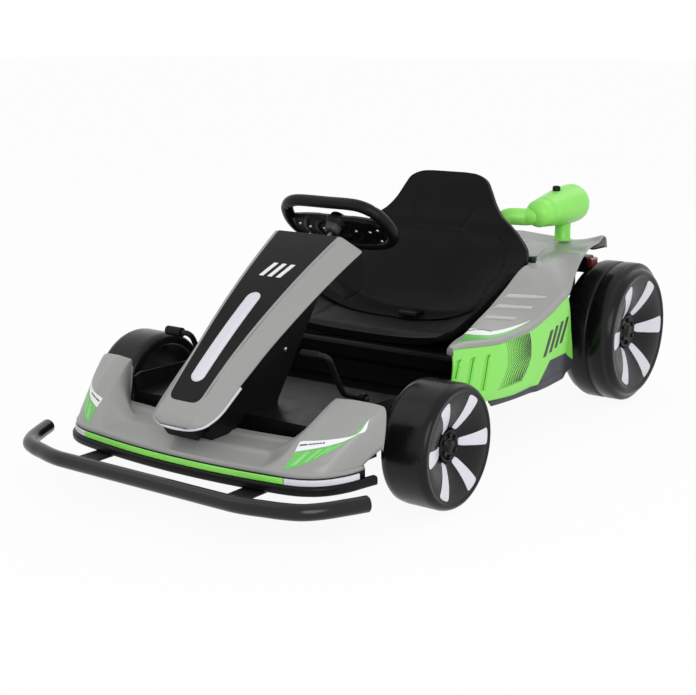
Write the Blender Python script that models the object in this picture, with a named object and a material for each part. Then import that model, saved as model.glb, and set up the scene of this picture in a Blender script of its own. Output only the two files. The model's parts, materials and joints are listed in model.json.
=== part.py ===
"""Child's electric drift kart.

The kart is modelled nose towards -Y, +Z up, with the ground at z = 0 and the
middle plane at x = 0. All sizes are in metres.
"""
import math

import bmesh
import bpy
from mathutils import Matrix, Vector

# Clearances
GAP = 0.0003
RUNNING_GAP = 0.0006

# Wheels and axles
FRONT_AXLE_Y = -0.271
WHEELBASE = 0.778
REAR_AXLE_Y = FRONT_AXLE_Y + WHEELBASE
FRONT_RADIUS = 0.102
FRONT_WIDTH = 0.083
FRONT_FACE_X = 0.353
FRONT_DISH = 0.023
REAR_RADIUS = 0.140
REAR_RIM_RADIUS = 0.130
REAR_WIDTH = 0.110
REAR_FACE_X = 0.296
REAR_DISH = 0.029
AXLE_RADIUS = 0.005
WHEEL_SEGMENTS = 32
PETAL_COUNT = 6
TRIM_THICKNESS = 0.002
CAP_HEIGHT = 0.007

# Steering
KINGPIN_X = 0.250
KNUCKLE_RADIUS = 0.009
KNUCKLE_HEIGHT = 0.044
YOKE_THICKNESS = 0.006
KINGPIN_RADIUS = 0.004
ARM_LENGTH = 0.060
ARM_THICKNESS = 0.007
TRACK_ROD_RADIUS = 0.004
TRACK_ROD_PIN_RADIUS = 0.003
SHAFT_RADIUS = 0.004
FORK_WIDTH = 0.022
FORK_CLEARANCE = 0.0009
FORK_THICKNESS = 0.005
CRANK_PIN_LENGTH = 0.026
CRANK_LENGTH = 0.0376
CRANK_PIN_Z = 0.128
STEERING_TILT = math.radians(45)
WHEEL_CENTRE = Vector((0.0, -0.115, 0.414))
STEERING_RIM_RADIUS = 0.011
PLATE_THICKNESS = 0.014
PLATE_TOP = 0.013
BUTTON_RADIUS = 0.011
BUTTON_HEIGHT = 0.006
BUTTON_TRAVEL = 0.003
BUTTON_X = 0.045
BUTTON_Y = 0.020

# Frame and the tray that it carries
MOULDING_BOTTOM = 0.0700
TRAY_THICKNESS = 0.007
RAIL_BOTTOM = MOULDING_BOTTOM + TRAY_THICKNESS + GAP
RAIL_X = 0.120
RAIL_WIDTH = 0.018
RAIL_HEIGHT = 0.0230
BEAM_SIZE = 0.020
LUG_RADIUS = 0.016
FRONT_AXLE_Z = FRONT_RADIUS
REAR_AXLE_Z = REAR_RADIUS
KNUCKLE_BOTTOM = FRONT_AXLE_Z - KNUCKLE_HEIGHT / 2
KNUCKLE_TOP = FRONT_AXLE_Z + KNUCKLE_HEIGHT / 2
ROD_Y = FRONT_AXLE_Y + ARM_LENGTH
ROD_Z = RAIL_BOTTOM + RAIL_HEIGHT + 0.008

# Nose
BUMPER_RADIUS = 0.0125
BUMPER_Y = -0.6135
BUMPER_Z = 0.073
BRACKET_X = 0.158
BRACKET_WIDTH = 0.040
BRACKET_THICKNESS = 0.004
NOSE_Y = -0.5485
MOULDING_HEIGHT = 0.0145
STRIP_HEIGHT = 0.0097
STRIP_DEPTH = 0.006
STRIP_HALF_WIDTH = 0.2107
PALE_STRIP_END = 0.2862
LIP_GAP = 0.002
LIP_HEIGHT = 0.0075
MOULDING_END = 0.2915
MOULDING_BULGE = 0.007
MOULDING_REAR_Y = -0.414
COWL_WALL = 0.003
SHELF_HEIGHT = 0.120
FENDER_HEIGHT = 0.1945
SHELF_REAR_Y = -0.438
FENDER_REAR_Y = -0.399
STRIP_BOTTOM = MOULDING_BOTTOM + MOULDING_HEIGHT + GAP
LIP_BOTTOM = STRIP_BOTTOM + STRIP_HEIGHT + LIP_GAP
LIP_TOP = LIP_BOTTOM + LIP_HEIGHT

# Column
COLUMN_FOOT = Vector((0.0, -0.511, 0.1835))
COLUMN_HEAD = Vector((0.0, -0.1965, 0.402))
COLUMN_BULGE = 0.0115
PANEL_FOOT_WIDTH = 0.0315
PANEL_HEAD_WIDTH = 0.0690
PANEL_THICKNESS = 0.0022
COVER_WALL = 0.003
COVER_MARGIN = 0.003
LIGHT_BAR_WIDTH = 0.026
LIGHT_BAR_START = 0.0286
LIGHT_BAR_LENGTH = 0.192
LIGHT_BAR_HEIGHT = 0.002
HOUSING_HALF_WIDTH = 0.0295
HOUSING_WALL = 0.0025

# Floor, pedals and seat
FLOOR_HALF_WIDTH = 0.2225
FLOOR_WALL = 0.004
FLOOR_TOP = RAIL_BOTTOM + RAIL_HEIGHT + GAP + FLOOR_WALL
WELL_TOP = 0.135
WELL_FRONT_Y = -0.404
PEDAL_RADIUS = 0.005
PEDAL_BAR = 0.055
BRAKE_X = 0.148
THROTTLE_X = -0.147
PEDAL_Y = -0.262
PEDAL_Z = WELL_TOP + 0.014
SEAT_BASE_TOP = 0.187
SEAT_BASE_HALF_WIDTH = 0.215
SEAT_BASE_WALL = 0.006

# Tail
PANEL_WALL = 0.003
SEAM_GAP = 0.0009
BRIDGE_WALL = 0.005
BRIDGE_FRONT_Y = 0.286
BRIDGE_SIDE_Y = 0.476
BRIDGE_CLEARANCE = 0.0012
MUFFLER_X = 0.150
MUFFLER_Z = 0.399
MUFFLER_Y = 0.412
MUFFLER_LENGTH = 0.140
MUFFLER_FRONT_RADIUS = 0.032
MUFFLER_REAR_RADIUS = 0.040
PIPE_RADIUS = 0.0175
POST_RADIUS = 0.018
POST_Y = MUFFLER_Y + 0.030
PIPE_FOOT = (0.072, 0.3155, 0.3142)
KNOB_RADIUS = 0.0065
KNOB_HEIGHT = 0.016
KNOB_PLACE = (0.2145, 0.202, 0.3180)
BODY_FRONT_Y = REAR_AXLE_Y - 0.245

# The kart is drawn about its steering gear and then moved to the middle of its footprint
FOOTPRINT_SHIFT = -0.0105

FINISHES = {
    "grey": ((0.40, 0.41, 0.40), 0.35, 0.0),
    "green": ((0.27, 0.80, 0.14), 0.35, 0.0),
    "black": ((0.015, 0.015, 0.016), 0.45, 0.0),
    "gloss": ((0.008, 0.008, 0.009), 0.12, 0.0),
    "pale": ((0.72, 0.72, 0.80), 0.30, 0.0),
    "tyre": ((0.018, 0.018, 0.019), 0.55, 0.0),
    "steel": ((0.045, 0.045, 0.048), 0.40, 0.6),
    "zinc": ((0.55, 0.56, 0.58), 0.30, 0.9),
    "slate": ((0.05, 0.06, 0.09), 0.40, 0.0),
    "seat": ((0.020, 0.020, 0.021), 0.60, 0.0),
    "webbing": ((0.03, 0.03, 0.03), 0.80, 0.0),
    "red": ((0.60, 0.03, 0.02), 0.25, 0.0),
}


def make_material(name, finish):
    """A Principled material of the given finish."""
    colour, roughness, metallic = FINISHES[finish]
    material = bpy.data.materials.new(name)
    material.use_nodes = True
    shader = material.node_tree.nodes["Principled BSDF"]
    shader.inputs["Base Color"].default_value = (*colour, 1.0)
    shader.inputs["Roughness"].default_value = roughness
    shader.inputs["Metallic"].default_value = metallic
    material.diffuse_color = (*colour, 1.0)
    return material


def add_object(name, data, finish=None, location=(0, 0, 0), rotation=None):
    """Links a mesh or a curve as an object, with a material of its own."""
    obj = bpy.data.objects.new(name, data)
    bpy.context.collection.objects.link(obj)
    obj.location = location
    if rotation is not None:
        obj.rotation_euler = rotation
    if finish is not None:
        data.materials.clear()
        data.materials.append(make_material(name + "_finish", finish))
    return obj


def finish_mesh(bm, name, sharp_degrees=40):
    """Turns a bmesh into a mesh with outward faces, smooth across shallow edges."""
    bmesh.ops.recalc_face_normals(bm, faces=bm.faces)
    mesh = bpy.data.meshes.new(name)
    bm.to_mesh(mesh)
    bm.free()
    mesh.shade_smooth()
    mesh.set_sharp_from_angle(angle=math.radians(sharp_degrees))
    return mesh


def as_tool(obj):
    """Marks an object as a guide that only shapes others."""
    obj.hide_render = True
    obj.display_type = "WIRE"
    return obj


def boolean(obj, tool, operation="DIFFERENCE"):
    """Cuts a tool from an object, or joins it on."""
    modifier = obj.modifiers.new(operation.lower(), "BOOLEAN")
    modifier.operation = operation
    modifier.solver = "EXACT"
    modifier.object = as_tool(tool)


def bevel(obj, width, segments=2, degrees=40):
    """Rounds the sharp edges of an object."""
    modifier = obj.modifiers.new("bevel", "BEVEL")
    modifier.width = width
    modifier.segments = segments
    modifier.limit_method = "ANGLE"
    modifier.angle_limit = math.radians(degrees)
    modifier.use_clamp_overlap = True


def prism_mesh(name, outline, lo, hi, axis="X"):
    """A flat outline drawn out along an axis: (y, z) along X, (x, z) along Y, (x, y) along Z."""
    place = {
        "X": lambda p, t: (t, p[0], p[1]),
        "Y": lambda p, t: (p[0], t, p[1]),
        "Z": lambda p, t: (p[0], p[1], t),
    }[axis]
    bm = bmesh.new()
    face = bm.faces.new([bm.verts.new(place(p, lo)) for p in outline])
    grown = bmesh.ops.extrude_face_region(bm, geom=[face])
    moved = [v for v in grown["geom"] if isinstance(v, bmesh.types.BMVert)]
    shift = Vector(place((0, 0), hi)) - Vector(place((0, 0), lo))
    bmesh.ops.translate(bm, verts=moved, vec=shift)
    return finish_mesh(bm, name)


def box_mesh(name, x, y, z):
    """A box between pairs of limits."""
    return prism_mesh(name, [(y[0], z[0]), (y[1], z[0]), (y[1], z[1]), (y[0], z[1])], x[0], x[1])


def turned_mesh(name, profile, segments, closed=False):
    """A profile of (radius, height) points spun about the local Z axis."""
    bm = bmesh.new()
    verts = [bm.verts.new((r, 0, h)) for r, h in profile]
    edges = [bm.edges.new(pair) for pair in zip(verts, verts[1:])]
    if closed:
        edges.append(bm.edges.new((verts[-1], verts[0])))
    bmesh.ops.spin(bm, geom=verts + edges, axis=(0, 0, 1), cent=(0, 0, 0), steps=segments,
                   angle=2 * math.pi, use_duplicate=False)
    bmesh.ops.remove_doubles(bm, verts=bm.verts, dist=1e-6)
    return finish_mesh(bm, name)


def rod_mesh(name, start, end, radius, segments=12):
    """A plain round rod between two points."""
    start = Vector(start)
    run = Vector(end) - start
    bm = bmesh.new()
    bmesh.ops.create_cone(bm, cap_ends=True, segments=segments, radius1=radius, radius2=radius,
                          depth=run.length)
    turn = run.to_track_quat("Z", "Y").to_matrix().to_4x4()
    bmesh.ops.transform(bm, verts=bm.verts, matrix=Matrix.Translation(start + run / 2) @ turn)
    return finish_mesh(bm, name)


def rounded_path(points, radius, steps=4):
    """The points of a path whose inner corners are rounded."""
    points = [Vector(p) for p in points]
    path = [points[0]]
    for before, corner, after in zip(points, points[1:], points[2:]):
        into = (before - corner).normalized()
        out = (after - corner).normalized()
        half = into.angle(out) / 2
        reach = radius / math.tan(half)
        centre = corner + (into + out).normalized() * radius / math.sin(half)
        first = corner + into * reach - centre
        last = corner + out * reach - centre
        turn = math.pi - 2 * half
        for k in range(steps + 1):
            a = turn * k / steps
            path.append(centre + (first * math.sin(turn - a) + last * math.sin(a)) / math.sin(turn))
    path.append(points[-1])
    return path


def tube_curve(name, points, radius, resolution=3, cyclic=False):
    """A tube along a path."""
    curve = bpy.data.curves.new(name, "CURVE")
    curve.dimensions = "3D"
    curve.bevel_depth = radius
    curve.bevel_resolution = resolution
    curve.use_fill_caps = True
    spline = curve.splines.new("POLY")
    spline.points.add(len(points) - 1)
    for point, place in zip(spline.points, points):
        point.co = (*place, 1.0)
    spline.use_cyclic_u = cyclic
    return curve


def mesh_of_curve(curve):
    """The closed mesh of a tube, for a boolean."""
    guide = bpy.data.objects.new("guide", curve)
    bpy.context.collection.objects.link(guide)
    mesh = bpy.data.meshes.new_from_object(guide.evaluated_get(bpy.context.evaluated_depsgraph_get()))
    bpy.data.objects.remove(guide, do_unlink=True)
    bm = bmesh.new()
    bm.from_mesh(mesh)
    bmesh.ops.remove_doubles(bm, verts=bm.verts, dist=1e-6)
    return finish_mesh(bm, curve.name)


def sheet_mesh(name, rows, outward):
    """An open sheet through rows of points, facing the outward direction."""
    bm = bmesh.new()
    grid = [[bm.verts.new(p) for p in row] for row in rows]
    for near, far in zip(grid, grid[1:]):
        for k in range(len(near) - 1):
            bm.faces.new((near[k], near[k + 1], far[k + 1], far[k]))
    bm.normal_update()
    facing = sum((f.normal * f.calc_area() for f in bm.faces), Vector())
    if facing.dot(Vector(outward)) < 0:
        bmesh.ops.reverse_faces(bm, faces=bm.faces)
    mesh = bpy.data.meshes.new(name)
    bm.to_mesh(mesh)
    bm.free()
    mesh.shade_smooth()
    mesh.set_sharp_from_angle(angle=math.radians(40))
    return mesh


def shell(name, rows, outward, wall, finish):
    """A sheet thickened inwards."""
    obj = add_object(name, sheet_mesh(name, rows, outward), finish)
    solidify = obj.modifiers.new("wall", "SOLIDIFY")
    solidify.thickness = wall
    solidify.offset = -1.0
    solidify.use_even_offset = True
    return obj


def loft_mesh(name, sections):
    """A closed body through rings of points, capped at both ends."""
    bm = bmesh.new()
    rings = [[bm.verts.new(p) for p in section] for section in sections]
    count = len(rings[0])
    for near, far in zip(rings, rings[1:]):
        for k in range(count):
            after = (k + 1) % count
            bm.faces.new((near[k], near[after], far[after], far[k]))
    bm.faces.new(rings[0])
    bm.faces.new(rings[-1])
    return finish_mesh(bm, name)


def between(table, y, column):
    """Straight-line reading of a column in a table of stations sorted by their first entry."""
    if y <= table[0][0]:
        return table[0][column]
    for low, high in zip(table, table[1:]):
        if y <= high[0]:
            share = (y - low[0]) / (high[0] - low[0])
            return low[column] + (high[column] - low[column]) * share
    return table[-1][column]


# Wheels

def wheel_profile(radius, rim, width, dish):
    """Closed (radius, height) outline of a wheel; height 0 is its outer face."""
    bore = AXLE_RADIUS + RUNNING_GAP
    outline = [
        (bore, -dish), (0.30 * rim, -dish), (0.85 * rim, -0.26 * dish), (0.88 * rim, -0.002),
        (0.92 * rim, 0.0), (0.965 * rim, -0.002), (rim, -0.010),
    ]
    if radius > rim:
        step = (radius - rim) * 0.35
        outline += [
            (radius, -0.016), (radius, -0.044), (radius - step, -0.046), (radius - step, -0.051),
            (radius, -0.053), (radius, -width + 0.025), (rim, -width + 0.006),
        ]
    else:
        outline += [(rim, -width + 0.012)]
    outline += [
        (0.95 * rim, -width), (0.80 * rim, -width), (0.77 * rim, -width + 0.028),
        (0.30 * rim, -width + 0.028), (0.27 * rim, -width), (bore, -width),
    ]
    return outline


def dish_height(r, rim, dish):
    """Height of the dished face of a wheel at a radius."""
    share = (r - 0.30 * rim) / (0.55 * rim)
    return -dish + 0.74 * dish * max(share, 0.0)


def trim_mesh(name, rim, dish):
    """Six petals joined by a ring, lying on the dished face of a wheel."""
    petals = [(0.30, 0.060), (0.55, 0.100), (0.75, 0.132), (0.81, 0.122), (0.835, 0.080)]
    inner = 0.17 * rim
    outer = petals[0][0] * rim
    half = math.asin(petals[0][1] / petals[0][0])
    lift = GAP * 2
    bm = bmesh.new()
    inside = []
    rim_ring = []

    def vert(r, angle):
        return bm.verts.new((r * math.cos(angle), r * math.sin(angle), dish_height(r, rim, dish) + lift))

    for k in range(PETAL_COUNT):
        middle = math.pi / 2 + k * 2 * math.pi / PETAL_COUNT
        for angle in (middle - half, middle + half):
            inside.append(vert(inner, angle))
            rim_ring.append(vert(outer, angle))
    count = len(inside)
    for k in range(count):
        after = (k + 1) % count
        bm.faces.new((inside[k], inside[after], rim_ring[after], rim_ring[k]))
    for k in range(PETAL_COUNT):
        middle = math.pi / 2 + k * 2 * math.pi / PETAL_COUNT
        low, high = rim_ring[2 * k], rim_ring[2 * k + 1]
        for reach, width in petals[1:]:
            r = math.hypot(reach, width) * rim
            spread = math.atan2(width, reach)
            next_low, next_high = vert(r, middle - spread), vert(r, middle + spread)
            bm.faces.new((low, high, next_high, next_low))
            low, high = next_low, next_high
    grown = bmesh.ops.extrude_face_region(bm, geom=list(bm.faces))
    moved = [v for v in grown["geom"] if isinstance(v, bmesh.types.BMVert)]
    bmesh.ops.translate(bm, verts=moved, vec=(0, 0, TRIM_THICKNESS))
    return finish_mesh(bm, name)


def cap_mesh(name, rim, dish):
    """Domed hub cap that sits on the ring of the trim."""
    base = -dish + 2 * GAP + TRIM_THICKNESS + GAP
    r = 0.245 * rim
    profile = [(0, base), (r, base), (r, base + CAP_HEIGHT * 0.5), (0.80 * r, base + CAP_HEIGHT),
               (0, base + CAP_HEIGHT)]
    return turned_mesh(name, profile, 16)


def make_wheels():
    """Four wheels, each with its trim and cap, turning about X."""
    sets = (("front", FRONT_RADIUS, FRONT_RADIUS, FRONT_WIDTH, FRONT_DISH, FRONT_FACE_X, FRONT_AXLE_Y),
            ("rear", REAR_RADIUS, REAR_RIM_RADIUS, REAR_WIDTH, REAR_DISH, REAR_FACE_X, REAR_AXLE_Y))
    for place, radius, rim, width, dish, face_x, axle_y in sets:
        for side, word in ((1, "left"), (-1, "right")):
            tag = place + "_" + word
            location = (side * face_x, axle_y, radius)
            turn = (0, side * math.pi / 2, 0)
            profile = wheel_profile(radius, rim, width, dish)
            wheel = turned_mesh("wheel_" + tag, profile, WHEEL_SEGMENTS, closed=True)
            add_object("wheel_" + tag, wheel, "tyre", location, turn)
            trim = trim_mesh("wheel_trim_" + tag, rim, dish)
            add_object("wheel_trim_" + tag, trim, "pale", location, turn)
            cap = cap_mesh("hub_cap_" + tag, rim, dish)
            add_object("hub_cap_" + tag, cap, "black", location, turn)


# Running gear

def make_frame():
    """Welded frame: two rails with rear lugs, a front beam and two king-pin yokes."""
    top = RAIL_BOTTOM + RAIL_HEIGHT
    lug = [(REAR_AXLE_Y + LUG_RADIUS * math.cos(a), REAR_AXLE_Z + LUG_RADIUS * math.sin(a))
           for a in (math.radians(d) for d in range(-60, 121, 30))]
    rail = [(-0.500, RAIL_BOTTOM), (REAR_AXLE_Y - 0.110, RAIL_BOTTOM)] + lug
    rail += [(REAR_AXLE_Y - 0.125, top), (-0.500, top)]
    rails = []
    for side in (1, -1):
        x = side * RAIL_X
        rails.append(prism_mesh("rail", rail, x - RAIL_WIDTH / 2, x + RAIL_WIDTH / 2))
    frame = add_object("chassis_frame", rails[0], "steel")
    boolean(frame, add_object("rail_other", rails[1]), "UNION")
    reach = KINGPIN_X - KNUCKLE_RADIUS - 0.004
    for y in (FRONT_AXLE_Y, 0.020, 0.300):
        z = (FRONT_AXLE_Z - BEAM_SIZE / 2, FRONT_AXLE_Z + BEAM_SIZE / 2) if y == FRONT_AXLE_Y else (
            RAIL_BOTTOM + 0.002, top - 0.002)
        x = reach if y == FRONT_AXLE_Y else RAIL_X + RAIL_WIDTH / 4
        beam = box_mesh("beam", (-x, x), (y - BEAM_SIZE / 2, y + BEAM_SIZE / 2), z)
        boolean(frame, add_object("beam_guide", beam), "UNION")
    low = KNUCKLE_BOTTOM - GAP - YOKE_THICKNESS
    high = KNUCKLE_TOP + GAP + YOKE_THICKNESS
    wall = reach - 0.004
    outer = KINGPIN_X + KNUCKLE_RADIUS
    for side in (1, -1):
        yoke = [(wall, low), (outer, low), (outer, low + YOKE_THICKNESS), (reach, low + YOKE_THICKNESS),
                (reach, high - YOKE_THICKNESS), (outer, high - YOKE_THICKNESS), (outer, high), (wall, high)]
        yoke = [(side * x, z) for x, z in yoke]
        half = KNUCKLE_RADIUS
        mesh = prism_mesh("yoke", yoke, FRONT_AXLE_Y - half, FRONT_AXLE_Y + half, "Y")
        boolean(frame, add_object("yoke_guide", mesh), "UNION")
        pin = rod_mesh("pin_hole", (side * KINGPIN_X, FRONT_AXLE_Y, low - 0.01),
                       (side * KINGPIN_X, FRONT_AXLE_Y, high + 0.01), KINGPIN_RADIUS + RUNNING_GAP, 16)
        boolean(frame, add_object("pin_hole", pin))
    bore = rod_mesh("axle_hole", (-0.2, REAR_AXLE_Y, REAR_AXLE_Z), (0.2, REAR_AXLE_Y, REAR_AXLE_Z),
                    AXLE_RADIUS + RUNNING_GAP, 16)
    boolean(frame, add_object("axle_hole", bore))


def make_rear_axle():
    """Fixed rod that both rear wheels turn on."""
    end = REAR_FACE_X - REAR_DISH - 0.002
    ends = [(x, REAR_AXLE_Y, REAR_AXLE_Z) for x in (-end, end)]
    add_object("rear_axle", rod_mesh("rear_axle", *ends, AXLE_RADIUS), "zinc")


def make_gearboxes():
    """Two gearboxes on the axle, each with its motor can lying forward."""
    inner = RAIL_X + RAIL_WIDTH / 2 + GAP
    outer = REAR_FACE_X - REAR_WIDTH - RUNNING_GAP
    for side, word in ((1, "left"), (-1, "right")):
        turn = [(REAR_AXLE_Y + 0.045 * math.cos(a), REAR_AXLE_Z + 0.045 * math.sin(a))
                for a in (math.radians(d) for d in range(-100, 101, 25))]
        nose = [(REAR_AXLE_Y - 0.075 + 0.026 * math.cos(a), REAR_AXLE_Z + 0.026 * math.sin(a))
                for a in (math.radians(d) for d in range(105, 256, 30))]
        case = prism_mesh("gearbox_" + word, turn + nose, side * inner, side * outer)
        obj = add_object("gearbox_" + word, case, "black")
        bevel(obj, 0.003)
        ends = [(x, REAR_AXLE_Y, REAR_AXLE_Z) for x in (side * 0.1, side * 0.2)]
        bore = rod_mesh("gear_bore", *ends, AXLE_RADIUS + RUNNING_GAP, 16)
        boolean(obj, add_object("gear_bore", bore))


def make_knuckles():
    """Front knuckles: king pin, stub axle and rearward arm in one piece, turning about Z."""
    stub_end = FRONT_FACE_X - FRONT_DISH - 0.002 - KINGPIN_X
    flange = FRONT_FACE_X - FRONT_WIDTH - RUNNING_GAP - KINGPIN_X
    for side, word in ((1, "left"), (-1, "right")):
        half = KNUCKLE_HEIGHT / 2
        pin = half + GAP + YOKE_THICKNESS
        profile = [(0, -pin), (KINGPIN_RADIUS, -pin), (KINGPIN_RADIUS, -half), (KNUCKLE_RADIUS, -half),
                   (KNUCKLE_RADIUS, half), (KINGPIN_RADIUS, half), (KINGPIN_RADIUS, pin), (0, pin)]
        location = (side * KINGPIN_X, FRONT_AXLE_Y, FRONT_AXLE_Z)
        knuckle = add_object("knuckle_" + word, turned_mesh("knuckle", profile, 12), "steel", location)
        stub = rod_mesh("stub", (0, 0, 0), (side * stub_end, 0, 0), AXLE_RADIUS)
        boolean(knuckle, add_object("stub_guide", stub, None, location), "UNION")
        collar = rod_mesh("collar", (0, 0, 0), (side * flange, 0, 0), AXLE_RADIUS + 0.003, 12)
        boolean(knuckle, add_object("collar_guide", collar, None, location), "UNION")
        z = ROD_Z - FRONT_AXLE_Z
        arm = box_mesh("arm", (-0.006, 0.006), (0.0, ARM_LENGTH + 0.007),
                       (z - ARM_THICKNESS / 2, z + ARM_THICKNESS / 2))
        boolean(knuckle, add_object("arm_guide", arm, None, location), "UNION")
        eye = rod_mesh("eye", (0, ARM_LENGTH, z - 0.01), (0, ARM_LENGTH, z + 0.01),
                       TRACK_ROD_PIN_RADIUS + RUNNING_GAP, 12)
        boolean(knuckle, add_object("eye_guide", eye, None, location))


def make_track_rod():
    """Rod over both knuckle arms, with a long fork that runs forward over the beam to the crank pin."""
    z = ROD_Z + ARM_THICKNESS / 2 + RUNNING_GAP + TRACK_ROD_RADIUS
    origin = Vector((KINGPIN_X, ROD_Y, ROD_Z))
    lift = z - ROD_Z
    rod = rod_mesh("track_rod", (-2 * KINGPIN_X - 0.006, 0, lift), (0.006, 0, lift), TRACK_ROD_RADIUS, 10)
    obj = add_object("track_rod", rod, "zinc", origin)
    for x in (0.0, -2 * KINGPIN_X):
        foot = -ARM_THICKNESS / 2 - 0.002
        pin = rod_mesh("rod_pin", (x, 0, foot), (x, 0, lift), TRACK_ROD_PIN_RADIUS, 8)
        boolean(obj, add_object("rod_pin", pin, None, origin), "UNION")
    half = FORK_WIDTH / 2
    pin = crank_pin()
    thick = FORK_THICKNESS / 2
    fork = box_mesh("fork", (-half, half), (pin.y - 0.034, ROD_Y), (z - thick, z + thick))
    boolean(obj, add_object("fork_guide", fork), "UNION")
    inner = SHAFT_RADIUS + FORK_CLEARANCE
    slot = box_mesh("fork_slot", (-inner, inner), (pin.y - 0.06, pin.y + 0.004), (z - 0.02, z + 0.02))
    boolean(obj, add_object("fork_slot", slot))


# Steering

def steering_axis():
    """Unit vector up the steering shaft, towards the driver."""
    return Vector((0, math.cos(STEERING_TILT), math.sin(STEERING_TILT)))


def crank_direction():
    """Unit vector along the crank at rest: square to the shaft, down and back."""
    return Vector((0, math.sin(STEERING_TILT), -math.cos(STEERING_TILT)))


def crank_pin():
    """Upper end of the crank pin at rest, above the fork of the track rod."""
    foot = WHEEL_CENTRE + crank_direction() * CRANK_LENGTH
    down = (foot.z - CRANK_PIN_Z) / steering_axis().z
    return foot - steering_axis() * down


def make_steering_shaft():
    """Round shaft whose lower end is bent into a crank and its pin."""
    pin = crank_pin()
    foot = pin - crank_direction() * CRANK_LENGTH
    top = WHEEL_CENTRE - steering_axis() * (PLATE_THICKNESS / 2 + GAP)
    path = [top, foot, pin, pin - steering_axis() * CRANK_PIN_LENGTH]
    path = [p - WHEEL_CENTRE for p in path]
    curve = tube_curve("steering_shaft", rounded_path(path, 0.0065, 3), SHAFT_RADIUS, 3)
    add_object("steering_shaft", curve, "zinc", WHEEL_CENTRE)


RIM_HALF = [
    # across and down the wheel's face, from the middle of the top round to the middle of the bottom
    (0.0, -0.0500), (0.0300, -0.0502), (0.0500, -0.0500), (0.0640, -0.0487), (0.0750, -0.0455),
    (0.0850, -0.0400), (0.0935, -0.0320), (0.1000, -0.0215), (0.1045, -0.0085), (0.1068, 0.0050),
    (0.1065, 0.0170), (0.1035, 0.0290), (0.0975, 0.0390), (0.0890, 0.0470), (0.0780, 0.0530),
    (0.0600, 0.0580), (0.0400, 0.0610), (0.0200, 0.0618), (0.0, 0.0620),
]


def make_steering_wheel():
    """Rounded rim whose lower part is filled by a plate that carries the buttons."""
    turn = (STEERING_TILT - math.pi / 2, 0, 0)
    outline = RIM_HALF + [(-x, y) for x, y in reversed(RIM_HALF[1:-1])]
    path = [(x, y, 0) for x, y in outline]
    rim = mesh_of_curve(tube_curve("rim", path, STEERING_RIM_RADIUS, 2, True))
    wheel = add_object("steering_wheel", rim, "black", WHEEL_CENTRE, turn)
    shoulder = [(0.035, -PLATE_TOP), (0.062, 0.003 - PLATE_TOP), (0.100, 0.010 - PLATE_TOP)]
    edge = shoulder + [point for point in RIM_HALF if point[1] > 0.0]
    plate_outline = edge + [(-x, y) for x, y in reversed(edge[:-1])]
    half = PLATE_THICKNESS / 2
    plate = prism_mesh("plate", plate_outline, -half, half, "Z")
    boolean(wheel, add_object("plate_guide", plate, None, WHEEL_CENTRE, turn), "UNION")
    for x in (-BUTTON_X, BUTTON_X):
        floor = half - BUTTON_HEIGHT + 0.001
        pocket = rod_mesh("pocket", (x, BUTTON_Y, floor), (x, BUTTON_Y, half + 0.01),
                          BUTTON_RADIUS + RUNNING_GAP, 20)
        boolean(wheel, add_object("pocket_guide", pocket, None, WHEEL_CENTRE, turn))


def make_buttons():
    """Two push buttons on the driver's side of the wheel, sliding along the shaft."""
    turn = Matrix.Rotation(STEERING_TILT - math.pi / 2, 4, "X")
    half = PLATE_THICKNESS / 2
    base = half - BUTTON_HEIGHT + 0.001 + BUTTON_TRAVEL
    for x, name, finish in ((BUTTON_X, "horn_button", "red"), (-BUTTON_X, "music_button", "green")):
        profile = [(0, 0), (BUTTON_RADIUS, 0), (BUTTON_RADIUS, BUTTON_HEIGHT - 0.0015),
                   (0.8 * BUTTON_RADIUS, BUTTON_HEIGHT), (0, BUTTON_HEIGHT)]
        place = WHEEL_CENTRE + turn @ Vector((x, BUTTON_Y, base))
        add_object(name, turned_mesh(name, profile, 20), finish, place, turn.to_euler())


# Nose

NOSE_LINE = [
    # half of the nose's front edge, seen from above
    (0.0000, NOSE_Y), (0.0500, NOSE_Y + 0.0011), (0.1000, NOSE_Y + 0.0043), (0.1400, NOSE_Y + 0.0084),
    (0.1700, NOSE_Y + 0.0124), (0.2076, NOSE_Y + 0.0182), (0.2200, NOSE_Y + 0.0212),
    (0.2312, NOSE_Y + 0.0250), (0.2420, NOSE_Y + 0.0305), (0.2517, NOSE_Y + 0.0370),
    (0.2600, NOSE_Y + 0.0450), (0.2670, NOSE_Y + 0.0545), (0.2733, NOSE_Y + 0.0660),
    (0.2785, NOSE_Y + 0.0785), (0.2822, NOSE_Y + 0.0910), (0.2848, NOSE_Y + 0.1045),
    (0.2890, NOSE_Y + 0.1235), (0.2950, NOSE_Y + 0.1485),
]


def nose_point(x, out=0.0):
    """Point (x, y) on the front edge of the nose, moved out square to the edge."""
    a = abs(x)
    step = 0.002
    rise = between(NOSE_LINE, a + step, 1) - between(NOSE_LINE, abs(a - step), 1)
    slope = rise / (2 * step)
    length = math.hypot(1.0, slope)
    side = math.copysign(1.0, x)
    return x + side * out * slope / length, between(NOSE_LINE, a, 1) - out / length


def nose_stops(start, end):
    """Places across the nose from start to end where the front edge turns."""
    inner = [x for x, y in NOSE_LINE if start + 0.002 < x < end - 0.002]
    return [start] + inner + [end]


def mirrored(stops):
    """The same places on both sides of the middle plane, from right to left."""
    return [-x for x in reversed(stops) if x > 0] + stops


def nose_band(name, stops, section, finish):
    """A strip along the front edge: a section of (out, z) points at each place across."""
    rings = [[(*nose_point(x, out), z) for out, z in section] for x in stops]
    return add_object(name, loft_mesh(name, rings), finish)


BUMPER_BEND = [
    # half of the bumper's centre line, seen from above
    (0.340, -0.496), (0.322, -0.532), (0.305, -0.562), (0.286, -0.583), (0.258, -0.596),
    (0.232, -0.603), (0.205, -0.610), (0.180, BUMPER_Y),
]


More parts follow.
